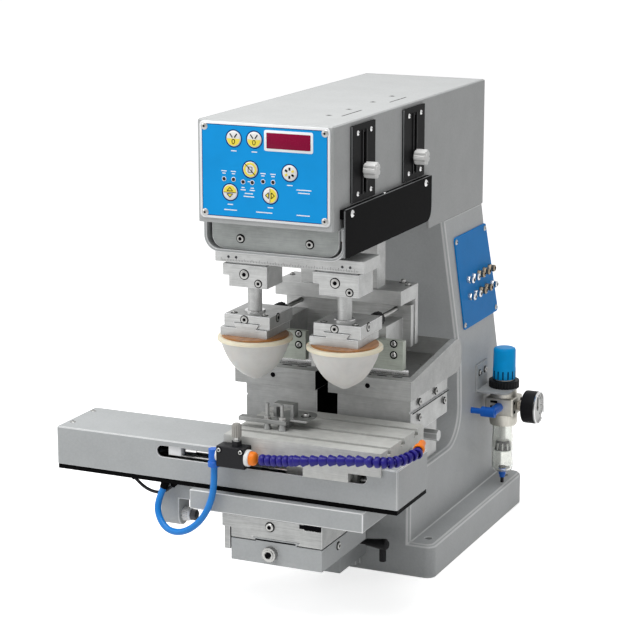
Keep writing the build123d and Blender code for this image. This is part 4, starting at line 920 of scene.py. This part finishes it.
# %% [markdown]
# ## Silicone pads
#
# A pad is cast in a polished mould: a soft dome that comes to a blunt point, with a thick rim
# where it is bonded to its wooden back. The dome is a smooth curve through a few shares of the
# radius and the height, and it is spun round the pad's axis.

# %% Pads
DOME = [(0.01, 0.0), (0.10, 0.025), (0.21, 0.08), (0.34, 0.15), (0.46, 0.235)]
DOME += [(0.57, 0.34), (0.71, 0.53), (0.83, 0.76), (0.92, 1.0)]
RIM_HEIGHT = 6.0


def smooth_profile(points, steps=5):
    """Catmull-Rom line through (radius, height) points."""
    first = tuple(2 * a - b for a, b in zip(points[0], points[1]))
    last = tuple(2 * a - b for a, b in zip(points[-1], points[-2]))
    run = [first, *points, last]
    line = []
    for four in zip(run, run[1:], run[2:], run[3:]):
        for t in (i / steps for i in range(steps)):
            spot = []
            for p, q, r, s in zip(*four):
                curve = 2 * q + (r - p) * t + (2 * p - 5 * q + 4 * r - s) * t * t
                spot.append((curve + (3 * q - p - 3 * r + s) * t**3) / 2)
            line.append((max(spot[0], 0.01), spot[1]))
    return [*line, points[-1]]


def pad(node):
    low, high, (x, y, _) = corners(node)
    radius, height = (high.x - low.x) / 2, high.z - low.z
    rise = height - RIM_HEIGHT
    dome = smooth_profile([(out * radius, up * rise) for out, up in DOME])
    rim = [(radius * 0.95, rise), (radius, rise + 1.6)]
    rim += [(radius, height - 1.2), (radius - 1.0, height), (0.01, height)]
    shape = Shape().turned(dome + rim, (x, y, low.z), steps=80)
    for face in shape.bm.faces:
        if face.calc_center_median().z / MM > high.z - RIM_HEIGHT + 1.0:
            face.material_index = 1
    shape.stand_in(node + "_silicone", ("silicone", "cream_rim"), node, 50)


pad("pad_left")
pad("pad_right")

# %% [markdown]
# ## Carriage, lifting rods and doctor gear
#
# Behind the pads hang the crossbar and the doctor gear, which scrapes the ink off the engraved
# plates. The blade holders are greenish anodised plates, and two black knobs press them down.

# %% Carriage, rods, cylinders, and the screws of the blade holders and the crossbar
broken("carriage_plate", "milled_y", 0.5)
broken("carriage_drive", "polished", 0.4)
broken("pad_cylinder", "black_paint", 0.5)
broken("pad_lift_rods", "polished", 0.4)
broken("crossbar", "milled_x", 0.7)
broken("doctor_plate", "milled_x")
broken("doctor_blades", ("blade_green", "polished", "blade_green", "polished"), 0.4)


def doctor_screws():
    y = corners("doctor_blades")[0].y
    places = [(x, y, z) for x in (-38.3, 87.0, -89.0, 36.3) for z in (316.4, 302.7)]
    # Painted shade: a dark ring round each blade screw's head.
    rings = Shape()
    for at in places:
        rings.turned([(4.9, -0.2), (4.9, 0.2), (3.4, 0.2)], at, FRONT, 28)
    rings.extra("blade_screw_seat_shade", "dark_gap", "doctor_blades", STEEL)
    screws("blade_screw", "doctor_blades", (places, FRONT, 3.4, 1.8), kind=pan_screw)
    big = [(x, -158.0, 374.0) for x in (-66.0, 66.0)]
    small = [(x, -170.0, 374.0) for x in (-78.0, 78.0)]
    screws("crossbar_screw", "crossbar", (big, UP, 3.4, 4.0), (small, UP, 2.6, 2.6))


doctor_screws()

# %% Pressure knobs with fine grips and bright threaded stems
GRIP_LENGTH = 13.0


def thread(radius, depth, pitch, count):
    """Profile of a thread: a zigzag of small steps along the axis."""
    return [(radius + depth * (i % 2), i * pitch) for i in range(count)]


def blade_knob(node):
    low, high, middle = corners(node)
    at = (middle.x, low.y + GRIP_LENGTH, middle.z)
    grip = Shape().drawn(lobed((high.x - low.x) / 2, 0.9, 14), 12.4, at, FRONT, 0.7)
    grip.turned([(0.01, 13.0), (4.4, 13.0), (4.8, 12.2)], at, FRONT, 24)
    grip.stand_in(node + "_grip", "black_plastic", node, 40)
    line = thread(2.4, 0.35, 0.75, int((high.y - low.y - GRIP_LENGTH) / 0.75))
    stem = Shape().turned([(0.01, 0), *line, (0.01, line[-1][1])], at, BACK, 18)
    stem.extra(node + "_stem", "screw_steel", node, STEEL)


blade_knob("blade_knob_left")
blade_knob("blade_knob_right")

# %% [markdown]
# ## Ink trays, plates and their pedestals
#
# The trays are polished by years of ink and solvent, and an engraved steel plate lies in each.
# The pedestals stand so close that the gap between them lies in deep shade, so their inner faces
# carry that shade as black paint.

# %% Trays, plates, adjusters and painted shade on the inner faces of the gap between them
SHADED_INNER_FACES = ((13.6, (-237.5, 133.0), (-64.0, 251.5)), (8.6, (-254.5, 252.5), (-100.0, 275.5)))
SLOTS_X = [side + step for side in (-62.8, 62.8) for step in (-30, -10, 10, 30)]
PEDESTAL_SCREWS = [(112.0, y, 241.5) for y in (-214.0, -160.0)]
PEDESTAL_SCREWS += [(112.0, y, 222.0) for y in (-214.0, -130.0)]


def trays():
    broken("ink_trays", "tray_steel", worn="lit_edge")
    broken("cliche_plates", "screw_steel", 0.3)
    dark, faces, seam = Shape(), Shape(), Shape()
    # Painted shade: thin dark strips for the tray's slots, and two dark discs on its front.
    for x in SLOTS_X:
        dark.block((x - 6.5, -241.5, 276.0), (x + 6.5, -238.5, 276.42), 0)
    for x in (-65.3, 60.3):
        dark.turned([(0.01, 0.12), (3.1, 0.12), (3.2, -0.3)], (x, -255.0, 266.0), FRONT, 24)
    dark.extra("tray_slot_shade", "dark_gap", "ink_trays")
    # Painted shade: black sheets on the inner faces of the pedestals and the trays, where the
    # narrow gap between them is in shade.
    for gap, low, high in SHADED_INNER_FACES:
        faces.block((-gap - 0.1, *low), (-gap + 0.3, *high), 0)
        faces.block((gap - 0.3, *low), (gap + 0.1, *high), 0)
    faces.extra("painted_shade_inner_faces", "black_paint", "pedestals", SLOT_OF["side_cover"])
    seam.block((111.7, -237.0, 231.2), (112.2, -116.0, 232.4), 0)
    seam.extra("pedestal_seams", "dark_gap", "pedestals")
    screws("pedestal_screw", "pedestals", (PEDESTAL_SCREWS, RIGHT, 3.6, 1.6))


trays()

# %% [markdown]
# ## Knee, saddles and their screws
#
# The work table rides on a knee that is clamped to the base's way, then on two dovetail saddles.
# The castings are painted, the dovetails are bare. A lobed screw drives one axis, a ribbed thumb
# screw stops the other, and a black clamp lever locks the knee.

# %% Knee, saddle and slab
SADDLE_FACE = -385.0

broken("knee_slide", "grey_enamel", 0.9)
broken("saddle_top", "saddle_metal", 0.7, worn="milled_x")
broken("work_plate", "grey_enamel", 1.2, 3, worn="worn_enamel")


def slab_details():
    low, high, _ = corners("work_plate")
    edge, slots = Shape(), Shape()
    # Painted highlight: a thin pale strip on the slab's front right edge, where the edge catches
    # the light.
    edge.block((high.x - 1.2, low.y - 0.25, 129.0), (high.x + 0.25, low.y + 1.2, 151.0), 0.3)
    edge.extra("slab_edge_highlight", "lit_edge", "work_plate")
    # Painted shadow: dark strips on the saddle's front face for the shade in its grooves.
    front, back = SADDLE_FACE - 0.2, SADDLE_FACE + 0.4
    slots.block((30.0, front, 122.0), (58.0, back, 126.8), 0)
    slots.block((-27.0, front, 100.2), (25.0, back, 102.0), 0)
    slots.extra("saddle_groove_shade", "dark_gap", "saddle_top")
    screws("saddle_screw", "saddle_top", ([(-8.0, SADDLE_FACE, 118.5)], FRONT, 5.0, 2.6))
    screws("knee_screw", "knee_slide", ([(59.0, -338.0, 90.0)], RIGHT, 4.2, 2.0))


slab_details()

# %% Lobed drive screw, ribbed thumb screw and clamp lever
DRIVE_HEAD = 10.4
THUMB_HEAD = 17.0


def drive_screw():
    low, high, middle = corners("y_screw")
    at = (middle.x, low.y + DRIVE_HEAD, middle.z)
    head = Shape().drawn(lobed((high.x - low.x) / 2, 0.7, 16), 9.0, at, FRONT, 0.6)
    head.turned([(4.6, 9.6), (4.6, 10.3), (6.2, 10.3), (6.6, 9.0)], at, FRONT, 32)
    head.turned([(0.01, 0), (4.0, 0), (4.0, high.y - at[1])], at, BACK, 24)
    head.stand_in("drive_screw", "screw_steel", "y_screw", 40)
    # Painted shade: a dark hexagon for the screw head's socket.
    hole = Shape().drawn(ring_points(4.0, 6), 9.8, at, FRONT)
    hole.extra("drive_screw_socket_shade", "dark_gap", "y_screw", STEEL)


def thumb_screw():
    """Ribbed grip beside the lug, then a disc and a black hexagon tip."""
    node = "x_stop_screw"
    low, high, (_, y, z) = corners(node)
    start = high.x - THUMB_HEAD
    length = start - low.x
    grip = Shape().drawn(lobed(8.6, 1.1, 10), 7.0, (start, y, z), RIGHT, 0.6)
    profile = [(0.01, 0), (7.4, 0), (7.4, 2.6), (6.8, 3.0), (0.01, 3.0)]
    disc = Shape().turned(profile, (start + 7.0, y, z), RIGHT, 32)
    tip = Shape().drawn(ring_points(6.9, 6), 7.0, (start + 10.0, y, z), RIGHT, 0.8)
    line = thread(3.6, 0.35, 0.8, int(length / 0.8))
    tip.turned([(0.01, 0), *line, (3.6, length)], (low.x, y, z), RIGHT, 18)
    grip.stand_in("thumb_screw_grip", "white_plastic", node, 40)
    disc.extra("thumb_screw_disc", "lit_edge", node, STEEL)
    tip.extra("thumb_screw_stem", "blued_steel", node, STEEL)


drive_screw()
thumb_screw()
broken("clamp_lever", "black_plastic", 0.8, 3)

# %% [markdown]
# ## Shuttle: housing, drive, grooved table and fixture
#
# The housing is a long painted box with a slot in front, in which the table's bracket travels.
# What shows of the slider and its rod in the slot moves with the table. The table is milled
# aluminium with three undercut grooves, and carries the fixture that holds the product.

# %% Housing, base, drive, table and fixture
HOUSING_SCREWS = ((-292.0, -303.0), (-290.0, -356.0))
STUDS_X, STUDS_Y = (-30.0, -11.0), -344.0


def shuttle():
    broken("shuttle_cover", "grey_enamel", 1.2, 3, worn="worn_enamel")
    broken("shuttle_base", "black_paint", 0.5)
    broken("shuttle_drive", ("polished",) * 5, 0.4)
    broken("shuttle_table", "table_metal", worn="lit_edge")
    top = corners("shuttle_cover")[1].z
    places = [(x, y, top) for x, y in HOUSING_SCREWS]
    screws("housing_screw", "shuttle_cover", (places, UP, 3.6, 1.3), kind=pan_screw)
    slider = Shape().block((-146.0, -376.6, 187.5), (-129.0, -366.0, 199.5), 0.6)
    slider.extra("slot_slider", "lit_edge", "shuttle_table", "machined_aluminium")
    profile = [(0.01, 0), (4.6, 0), (4.6, 14), (3.0, 14), (3.0, 60), (0.01, 60)]
    rod = Shape().turned(profile, (-125.0, -368.0, 194.5), RIGHT, 28)
    rod.extra("slot_rod", "polished", "shuttle_table", "machined_aluminium")


def fixture():
    """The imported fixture, with the nuts and the screw that the eye looks for."""
    broken("jig", "fixture_metal", 0.3)
    nuts, line = Shape(), thread(2.0, 0.25, 0.6, 24)
    for x in STUDS_X:
        nuts.drawn(ring_points(4.4, 6), 3.6, (x, STUDS_Y, 238.0), edge=0.4)
        nuts.turned([(5.2, 0), (5.2, 0.8), (2.2, 0.8)], (x, STUDS_Y, 237.9), steps=24)
        nuts.turned([*line, (0.01, line[-1][1] + 0.4)], (x, STUDS_Y, 242.0), steps=16)
    nuts.extra("fixture_nuts", "screw_steel", "jig", STEEL)
    screws("fixture_screw", "jig", ([(8.0, -318.0, 238.0)], UP, 4.6, 3.6))


shuttle()
fixture()

# %% [markdown]
# ## Blower: valve block, jointed hose and nozzle
#
# Air goes through a small black valve block into a hose of plastic links. Each link is a ball at
# one end and a socket at the other, so the hose keeps any bend it is given. The first and last
# links sit close together, and those between are pulled a little apart and look like cones.

# %% Valve block, elbow, ring and needle knob
VALVE_SCREWS = [(x, -404.0, 211.5) for x in (-64.5, -36.5)]
HOSE_SEAT, COLLAR_SEAT, NUT_SEAT = (-32, -396, 203.5), (-70.4, -396, 203), (-75, -396, 187.6)


def drop_ring(bm):
    """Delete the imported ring, which is built again below in two colours."""
    bmesh.ops.delete(bm, geom=list(solids_in(bm)[-1][0]), context="VERTS")


def valve_block():
    node, white = "valve_block", "white_plastic"
    broken(node, ("blue_fitting", "valve_black"), 0.8, 3, drop_ring)
    screws("valve_screw", node, (VALVE_SCREWS, FRONT, 2.6, 1.4))
    ring = [(0.01, -0.2), (9.9, -0.2), (9.9, 4.0), (9.2, 4.9), (0.01, 4.9)]
    Shape().turned(ring, HOSE_SEAT, RIGHT).extra("hose_ring", white, node, white)
    adapter = [(0.01, 4.8), (8.2, 4.8), (8.2, 9.6), (7.2, 11.4), (5.4, 12.4), (4.2, 13.0)]
    adapter = Shape().turned([*adapter, (0.01, 13.6)], HOSE_SEAT, RIGHT)
    adapter.extra("hose_adapter", "orange", node, "orange_plastic")
    collar = Shape().turned([(0.01, 0), (7.6, 0), (7.6, 2.2), (0.01, 2.2)], COLLAR_SEAT, RIGHT, 32)
    collar.extra("elbow_collar", white, node, white)
    nut = [(4.2, 0), (7.2, 0.4), (7.4, 1.2), (7.4, 6.0), (6.6, 7.0)]
    nut = Shape().turned(nut, NUT_SEAT, steps=32)
    nut.extra("elbow_nut", "blue_fitting", node, "blue_plastic")


def needle_knob():
    low, high, (x, y, _) = corners("needle_knob")
    foot = (x, y, high.z - 16.0)
    grip = Shape().drawn(lobed(5.8, 0.7, 12), 14.4, foot, edge=0.6)
    grip.turned([(0.01, 16.0), (4.4, 16.0), (4.8, 14.4)], foot, steps=24)
    grip.stand_in("needle_grip", "grey_plastic", "needle_knob", 40)
    neck = [(0.01, 0), (3.4, 0), (3.4, 9.4), (4.6, 9.4), (4.6, 12.0), (3.2, 12.4), (3.2, 16.2)]
    neck = Shape().turned(neck, (x, y, low.z), steps=28)
    neck.extra("needle_neck", "screw_steel", "needle_knob", STEEL)


valve_block()
needle_knob()

# %% Hose links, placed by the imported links, and the nozzle on the last of them
LAST_PLACE = Vector((166.0, -354.0, 226.0))
LAST_WAY = Vector((-0.149, 0.977, 0.152))
CONE_PITCH, BEAD_PITCH = 11.6, 7.8


def link_profile(cone):
    """Pitch and outline of one link: a flared cone or a round bead, then its neck and ball."""
    if cone:
        pitch, reach = CONE_PITCH, CONE_PITCH - 3.4
        body = [(6.75, -0.6), (6.8, 0.2), (6.2, 1.8), (5.5, 3.8), (4.9, reach * 0.8)]
    else:
        pitch, reach = BEAD_PITCH, 5.2
        body = [(6.4, -0.8), (6.75, 0.2), (6.8, 1.4), (6.5, 2.8), (5.9, 4.2), (5.0, 5.0)]
    ball = [(3.9, pitch - 1.9), (4.3, pitch - 0.6), (4.3, pitch + 0.6), (3.4, pitch + 2.2)]
    return pitch, [(4.9, -1.1), (6.4, -1.1), *body, (3.4, reach + 0.2), *ball]


def hose():
    middles = [middle for *_, middle in solids_in(merged("hose_links"))]
    spots = sorted(middles, key=lambda spot: spot.x + (spot.y + 396) * 2)
    spots.append(LAST_PLACE + LAST_WAY * 3.4)
    links = Shape()
    for here, there in zip(spots, spots[1:]):
        pitch, profile = link_profile((there - here).length > 9.5)
        way = (there - here).normalized()
        links.turned(profile, here - way * (pitch / 2 + 0.35), way, 30)
    links.stand_in("hose_beads", "violet", "hose_links", 55)
    print("links", len(middles))


def nozzle():
    socket = [(4.9, -1.1), (6.2, -1.1), (6.7, 0.4), (6.6, 4.2), (5.0, 9.6), (4.2, 11.0)]
    tube = [(4.2, 18.6), (3.9, 19.6), (2.6, 19.6), (2.6, 12.0), (0.01, 11.0)]
    shape = Shape().turned(socket + tube, LAST_PLACE, LAST_WAY, 36)
    shape.stand_in("air_nozzle", "orange", "nozzle", 40)


hose()
nozzle()

# %% [markdown]
# ## The two free cords
#
# A blue air hose leaves the elbow, hangs in a bow and goes back up into the housing's base, and a
# thin black cable hangs under the housing. Both are NURBS curves, with the points of the routes
# below as their control points, so they bend as a tube bends.

# %% Cords, in metres
AIR_ROUTE = [(-0.075, -0.396, 0.188), (-0.075, -0.396, 0.170), (-0.0775, -0.397, 0.149)]
AIR_ROUTE += [(-0.086, -0.398, 0.128), (-0.101, -0.3975, 0.110), (-0.121, -0.3955, 0.0985)]
AIR_ROUTE += [(-0.142, -0.391, 0.098), (-0.1565, -0.385, 0.1105), (-0.161, -0.3795, 0.1275)]
AIR_ROUTE += [(-0.155, -0.3745, 0.144)]
CABLE_ROUTE = [(-0.197, -0.368, 0.1495), (-0.188, -0.3685, 0.142), (-0.177, -0.369, 0.137)]
CABLE_ROUTE += [(-0.165, -0.3695, 0.1355), (-0.154, -0.369, 0.139), (-0.146, -0.368, 0.1465)]


def free_cord(name, node, route, diameter, look):
    data = bpy.data.curves.new(name, "CURVE")
    data.dimensions = "3D"
    data.bevel_depth = diameter / 2
    data.bevel_resolution = 5
    data.use_fill_caps = True
    spline = data.splines.new("NURBS")
    spline.points.add(len(route) - 1)
    for point, place in zip(spline.points, route):
        point.co = (*place, 1)
    spline.order_u = 3
    spline.use_endpoint_u = True
    spline.resolution_u = 10
    made = bpy.data.objects.new(name, data)
    bpy.context.scene.collection.objects.link(made)
    data.materials.append(LOOKS[look])
    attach(made, BODY_OF[node])
    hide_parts(node)


free_cord("air_line", "air_hose", AIR_ROUTE, 0.008, "air_tube")
free_cord("sensor_cable", "black_cable", CABLE_ROUTE, 0.004, "cable_black")

# %% [markdown]
# ## Air supply: regulator, gauge and valve panel
#
# A filter regulator of a usual quarter-inch size hangs on a bracket: a blue knob with slits at
# its foot, a black ring, a cast body, a clear bowl with a finned baffle, and a gauge whose dial
# looks to the right. Turned profiles give every round piece its lips and steps.

# %% Regulator body, with the filter that shows through the bowl
AXIS = Vector((112.0, 96.0, 0.0))
BODY_FRONT, BODY_RIGHT = 76.0, 132.0


def around(shape, count, middle, reach, half_height, depth):
    """Upright slots that look outwards, evenly spaced round an upright axis."""
    for way in (Vector((*point, 0)) for point in ring_points(1, count)):
        shape.drawn(rectangle(0.8, half_height), depth, middle + way * reach, way)


def regulator():
    broken("regulator_bracket", "grey_enamel", 0.5)
    places = [(86.5, y, 207.0) for y in (70.0, 90.0)]
    screws("bracket_screw", "regulator_bracket", (places, RIGHT, 3.6, 2.6))
    node, black, white = "regulator_body", "black_plastic", "white_plastic"
    body = Shape().block((92.0, BODY_FRONT, 148.0), (BODY_RIGHT, 116.0, 172.0), 2.4, 3)
    foot, cap = [(17.6, 132.6), (18.6, 135.0), (19.0, 148.2)], [(0.01, 132.6), (17.6, 132.6)]
    shoulder = [(18.4, 171.8), (17.8, 176.0), (16.6, 184.0), (15.0, 184.6), (0.01, 184.6)]
    for profile in (foot, cap, shoulder):
        body.turned(profile, AXIS, steps=56)
    body.turned([(13.6, 184.0), (13.6, 196.0)], AXIS)
    body.stand_in("regulator_housing", "body_metal", node, 35)
    # Painted shade: dark blocks for the slits in the body's front and right faces.
    slits, y = Shape(), BODY_FRONT
    for x in (100.0, 104.8):
        for z in (153.0, 160.0, 167.0):
            slits.block((x, y - 0.2, z - 1.6), (x + 5.0, y + 0.2, z + 1.6), 0)
    x = BODY_RIGHT
    for y in (80.0, 106.0):
        for z in (153.5, 166.0):
            slits.block((x - 0.2, y, z - 2.0), (x + 0.1, y + 6.0, z + 2.0), 0)
    slits.extra("housing_slit_shade", "dark_gap", node)
    ring = Shape().drawn(lobed(20.5, 0.9, 30), 9.6, AXIS + Vector((0, 0, 184.8)), edge=1.0)
    ring.extra("regulator_ring", black, node, black, 40)
    stem = Shape().turned([(3.4, 132.6), (3.4, 110.5), (8.0, 109.2), (0.01, 109.0)], AXIS)
    stem.turned([(0.01, 96.6), (11.2, 96.6), (11.2, 95.6), (10.6, 95.0), (0.01, 95.0)], AXIS)
    around(stem, 10, AXIS + Vector((0, 0, 102.0)), 9.6, 4.4, 2.0)
    stem.extra("filter_stem", white, node, white)
    skirt = [(0.01, 109.2), (8.4, 109.2), (11.4, 98.0), (11.4, 96.4), (0.01, 96.4)]
    Shape().turned(skirt, AXIS).extra("filter_baffle", black, node, black)


def knob():
    low, high, (x, y, _) = corners("regulator_knob")
    radius, height = (high.x - low.x) / 2, high.z - low.z
    shoulder = height * 0.34
    profile = [(0.01, 0), (radius - 0.4, 0), (radius, 0.6), (radius, shoulder)]
    profile += [(radius - 0.3, height * 0.37), (radius - 0.5, height - 3.0)]
    profile += [(radius - 1.4, height - 1.0), (radius - 3.0, height - 0.2)]
    profile += [(radius - 5.0, height), (0.01, height - 0.3)]
    cap = Shape().turned(profile, (x, y, low.z), steps=64)
    cap.stand_in("regulator_cap", "blue_knob", "regulator_knob", 40)
    # Painted shade: dark strips for the slits round the knob's foot.
    slits = Shape()
    around(slits, 14, Vector((x, y, low.z + 6.2)), radius - 0.62, 5.6, 0.7)
    slits.extra("cap_slit_shade", "dark_gap", "regulator_knob", "blue_plastic")


def bowl():
    """Clear shell with a wall of its own, and the drain at its foot."""
    node, black = "regulator_bowl", "black_plastic"
    low, high, (x, y, _) = corners(node)
    at, top = (x, y, 0), high.z - 0.1
    outer = [(14.6, top), (14.7, 76.0), (14.2, 71.0), (12.2, 67.6), (9.0, 66.2), (5.2, 66.0)]
    inner = [(5.2, 68.2), (8.6, 68.4), (11.2, 69.8), (12.4, 73.0), (12.7, 78.0), (12.7, top)]
    wall = Shape().turned([*outer, *inner, outer[0]], at, steps=56)
    wall.stand_in("bowl_shell", "clear_bowl", node, 50)
    drain = [(5.0, 70.0), (5.0, 62.0), (4.6, 60.5), (3.8, 60.0), (3.8, 57.0), (0.01, 57.0)]
    drain = Shape().turned(drain, at, steps=30)
    drain.extra("bowl_drain", "blue_fitting", node, "blue_plastic")
    tip = [(2.4, 57.4), (2.4, low.z + 0.4), (1.8, low.z), (0.01, low.z)]
    tip = Shape().turned(tip, at, steps=24)
    tip.turned([(5.1, 70.6), (5.1, 72.0), (0.01, 72.4)], at, steps=24)
    tip.extra("drain_tip", black, node, black)


regulator()
knob()
bowl()

# %% Pressure gauge: black case, bright rim, plain dial with ticks
DIAL = 27.6
TICKS = 31
TICK_STEP = math.radians(9)


def gauge():
    node, black = "pressure_gauge", "black_plastic"
    low, _, (_, y, z) = corners(node)
    at = (low.x, y, z)
    case = [(0.01, 0), (5.0, 0), (5.0, 9.0), (20.0, 10.0), (21.6, 11.2), (21.9, 13.0)]
    case = Shape().turned([*case, (21.9, 28.4)], at, RIGHT, 64)
    case.stand_in("gauge_case", black, node, 40)
    rim = [(21.9, 28.4), (22.0, 28.8), (22.0, 30.2), (21.4, 31.0), (20.4, 31.0), (20.0, 30.2)]
    rim = Shape().turned([*rim, (20.0, 27.0)], at, RIGHT, 64)
    rim.extra("gauge_rim", "polished", node, "polished_steel")
    dial = Shape().turned([(0.01, DIAL), (20.1, DIAL), (20.1, DIAL - 1)], at, RIGHT, 64)
    dial.extra("gauge_dial", "dial_white", node, "white_plastic")
    ticks = Shape()
    for i in range(TICKS):
        start, width = (15.4, 0.5) if i % 5 else (13.6, 1.0)
        turn = TICK_STEP * (i - TICKS // 2)
        way = Vector((math.sin(turn), math.cos(turn)))
        ticks.drawn(bars(width, way * start, way * 17.6)[0], 0.15, (at[0] + DIAL, y, z), FACE_RIGHT)
    ticks.extra("gauge_ticks", "black_paint", node, black)
    broken("gauge_needle", "black_paint", 0.15)
    nut = Shape().turned([(4.9, 1.0), (7.0, 1.0), (7.0, 7.0), (4.9, 7.0)], at, RIGHT, 6)
    nut.extra("gauge_nut", "nickel", node, STEEL)


gauge()

# %% Blue elbow into the column, and the valve panel with its fittings
PANEL_CORNERS = ((-27.0, 402.0), (79.0, 402.0), (11.5, 284.5), (130.0, 284.5))


def supply():
    broken("air_fitting", "blue_fitting", 0.6, 3)
    broken("valve_panel", "dark_blue_panel", 0.5)
    x = corners("valve_panel")[1].x
    places = [(x, y, z) for y, z in PANEL_CORNERS]
    screws("valve_panel_screw", "valve_panel", (places, RIGHT, 3.6, 2.0), kind=pan_screw)
    silver, brown, dark = Shape(), Shape(), Shape()
    collar = [(4.3, 5.0), (4.6, 6.0), (4.6, 8.6), (3.8, 9.6), (2.4, 9.9)]
    for i, (_, low, _, (_, y, z)) in enumerate(solids_in(merged("push_fittings"))):
        metal, at = silver if i < 4 or i > 8 else brown, (low.x, y, z)
        metal.drawn(ring_points(4.9, 6), 5.0, at, RIGHT, 0.5).turned(collar, at, RIGHT, 28)
        # Painted shade: a dark cone in each fitting's mouth.
        dark.turned([(2.5, 9.8), (2.3, 8.0), (0.01, 8.0)], at, RIGHT, 20)
    silver.stand_in("fittings_silver", "polished", "push_fittings")
    brown.extra("fittings_brown", "brown_metal", "push_fittings")
    dark.extra("fitting_mouth_shade", "dark_gap", "push_fittings")


supply()

# %% [markdown]
# ## Floor, backdrop and lamps
#
# The machine stands on a plain pale floor, which keeps its soft shadow. A little white emission,
# mixed in only where a camera, glossy or glass ray looks at it, keeps the background white
# without more light on the machine. The world is white to the same rays, and a soft grey light
# to all the others.

# %% Floor
SEEN_BY = ("Is Camera Ray", "Is Glossy Ray", "Is Transmission Ray")


def looked_at(tree):
    """Socket that is 1 where a camera, glossy or glass ray arrives, and 0 for every other."""
    rays = tree.nodes.new("ShaderNodeLightPath").outputs
    seen = rays[SEEN_BY[0]]
    for other in SEEN_BY[1:]:
        most = tree.nodes.new("ShaderNodeMath")
        most.operation = "MAXIMUM"
        tree.links.new(seen, most.inputs[0])
        tree.links.new(rays[other], most.inputs[1])
        seen = most.outputs[0]
    return seen


def floor_white():
    """White floor: plain paint, with a little light of its own for those rays alone."""
    paint = Paint("floor_white", (0.82, 0.82, 0.82))
    tone = paint.shade(paint.noise(3, 2), 0.3, 0.8, 0.02)
    glow = 0.70 * Wire(paint, looked_at(paint.tree))
    paint.feed(Base_Color=tone, Roughness=0.8, Emission_Color=glow, Emission_Strength=1.0)
    return paint.material


def stage():
    """A wide pale floor under the machine."""
    bm = bmesh.new()
    bmesh.ops.create_grid(bm, x_segments=2, y_segments=2, size=40.0)
    mesh = bpy.data.meshes.new("floor")
    bm.to_mesh(mesh)
    bm.free()
    floor = bpy.data.objects.new("floor", mesh)
    bpy.context.scene.collection.objects.link(floor)
    mesh.materials.append(floor_white())
    floor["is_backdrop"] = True


stage()

# %% World and lamps
SOFT_LIGHT = 0.32
WHITE_LIGHT = 1.0

world = bpy.data.worlds.new("world")
bpy.context.scene.world = world
world.use_nodes = True
tree = world.node_tree
backdrop = tree.nodes["Background"]
backdrop.inputs["Color"].default_value = (1, 1, 1, 1)
strength = tree.nodes.new("ShaderNodeMapRange")
tree.links.new(looked_at(tree), strength.inputs[0])
strength.inputs[3].default_value = SOFT_LIGHT
strength.inputs[4].default_value = WHITE_LIGHT
tree.links.new(strength.outputs[0], backdrop.inputs["Strength"])


def lamp(name, place, target, size, power):
    """A soft square lamp that looks at a point, in metres and watts."""
    data = bpy.data.lights.new(name, "AREA")
    data.size = size
    data.energy = power
    made = bpy.data.objects.new(name, data)
    made.location = place
    way = Vector(target) - Vector(place)
    made.rotation_euler = way.to_track_quat("-Z", "Y").to_euler()
    bpy.context.scene.collection.objects.link(made)


lamp("top_lamp", (-0.15, -0.8, 2.2), (0, -0.12, 0.2), 1.6, 45)
lamp("left_lamp", (-1.8, -1.7, 1.2), (0, -0.2, 0.25), 1.2, 13)

boxes = [[list(corner) for corner in box] for box in (cad_box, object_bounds())]
millimetres = [[round(v / MM) for v in corner] for box in boxes for corner in box]
print("boxes in millimetres", millimetres)
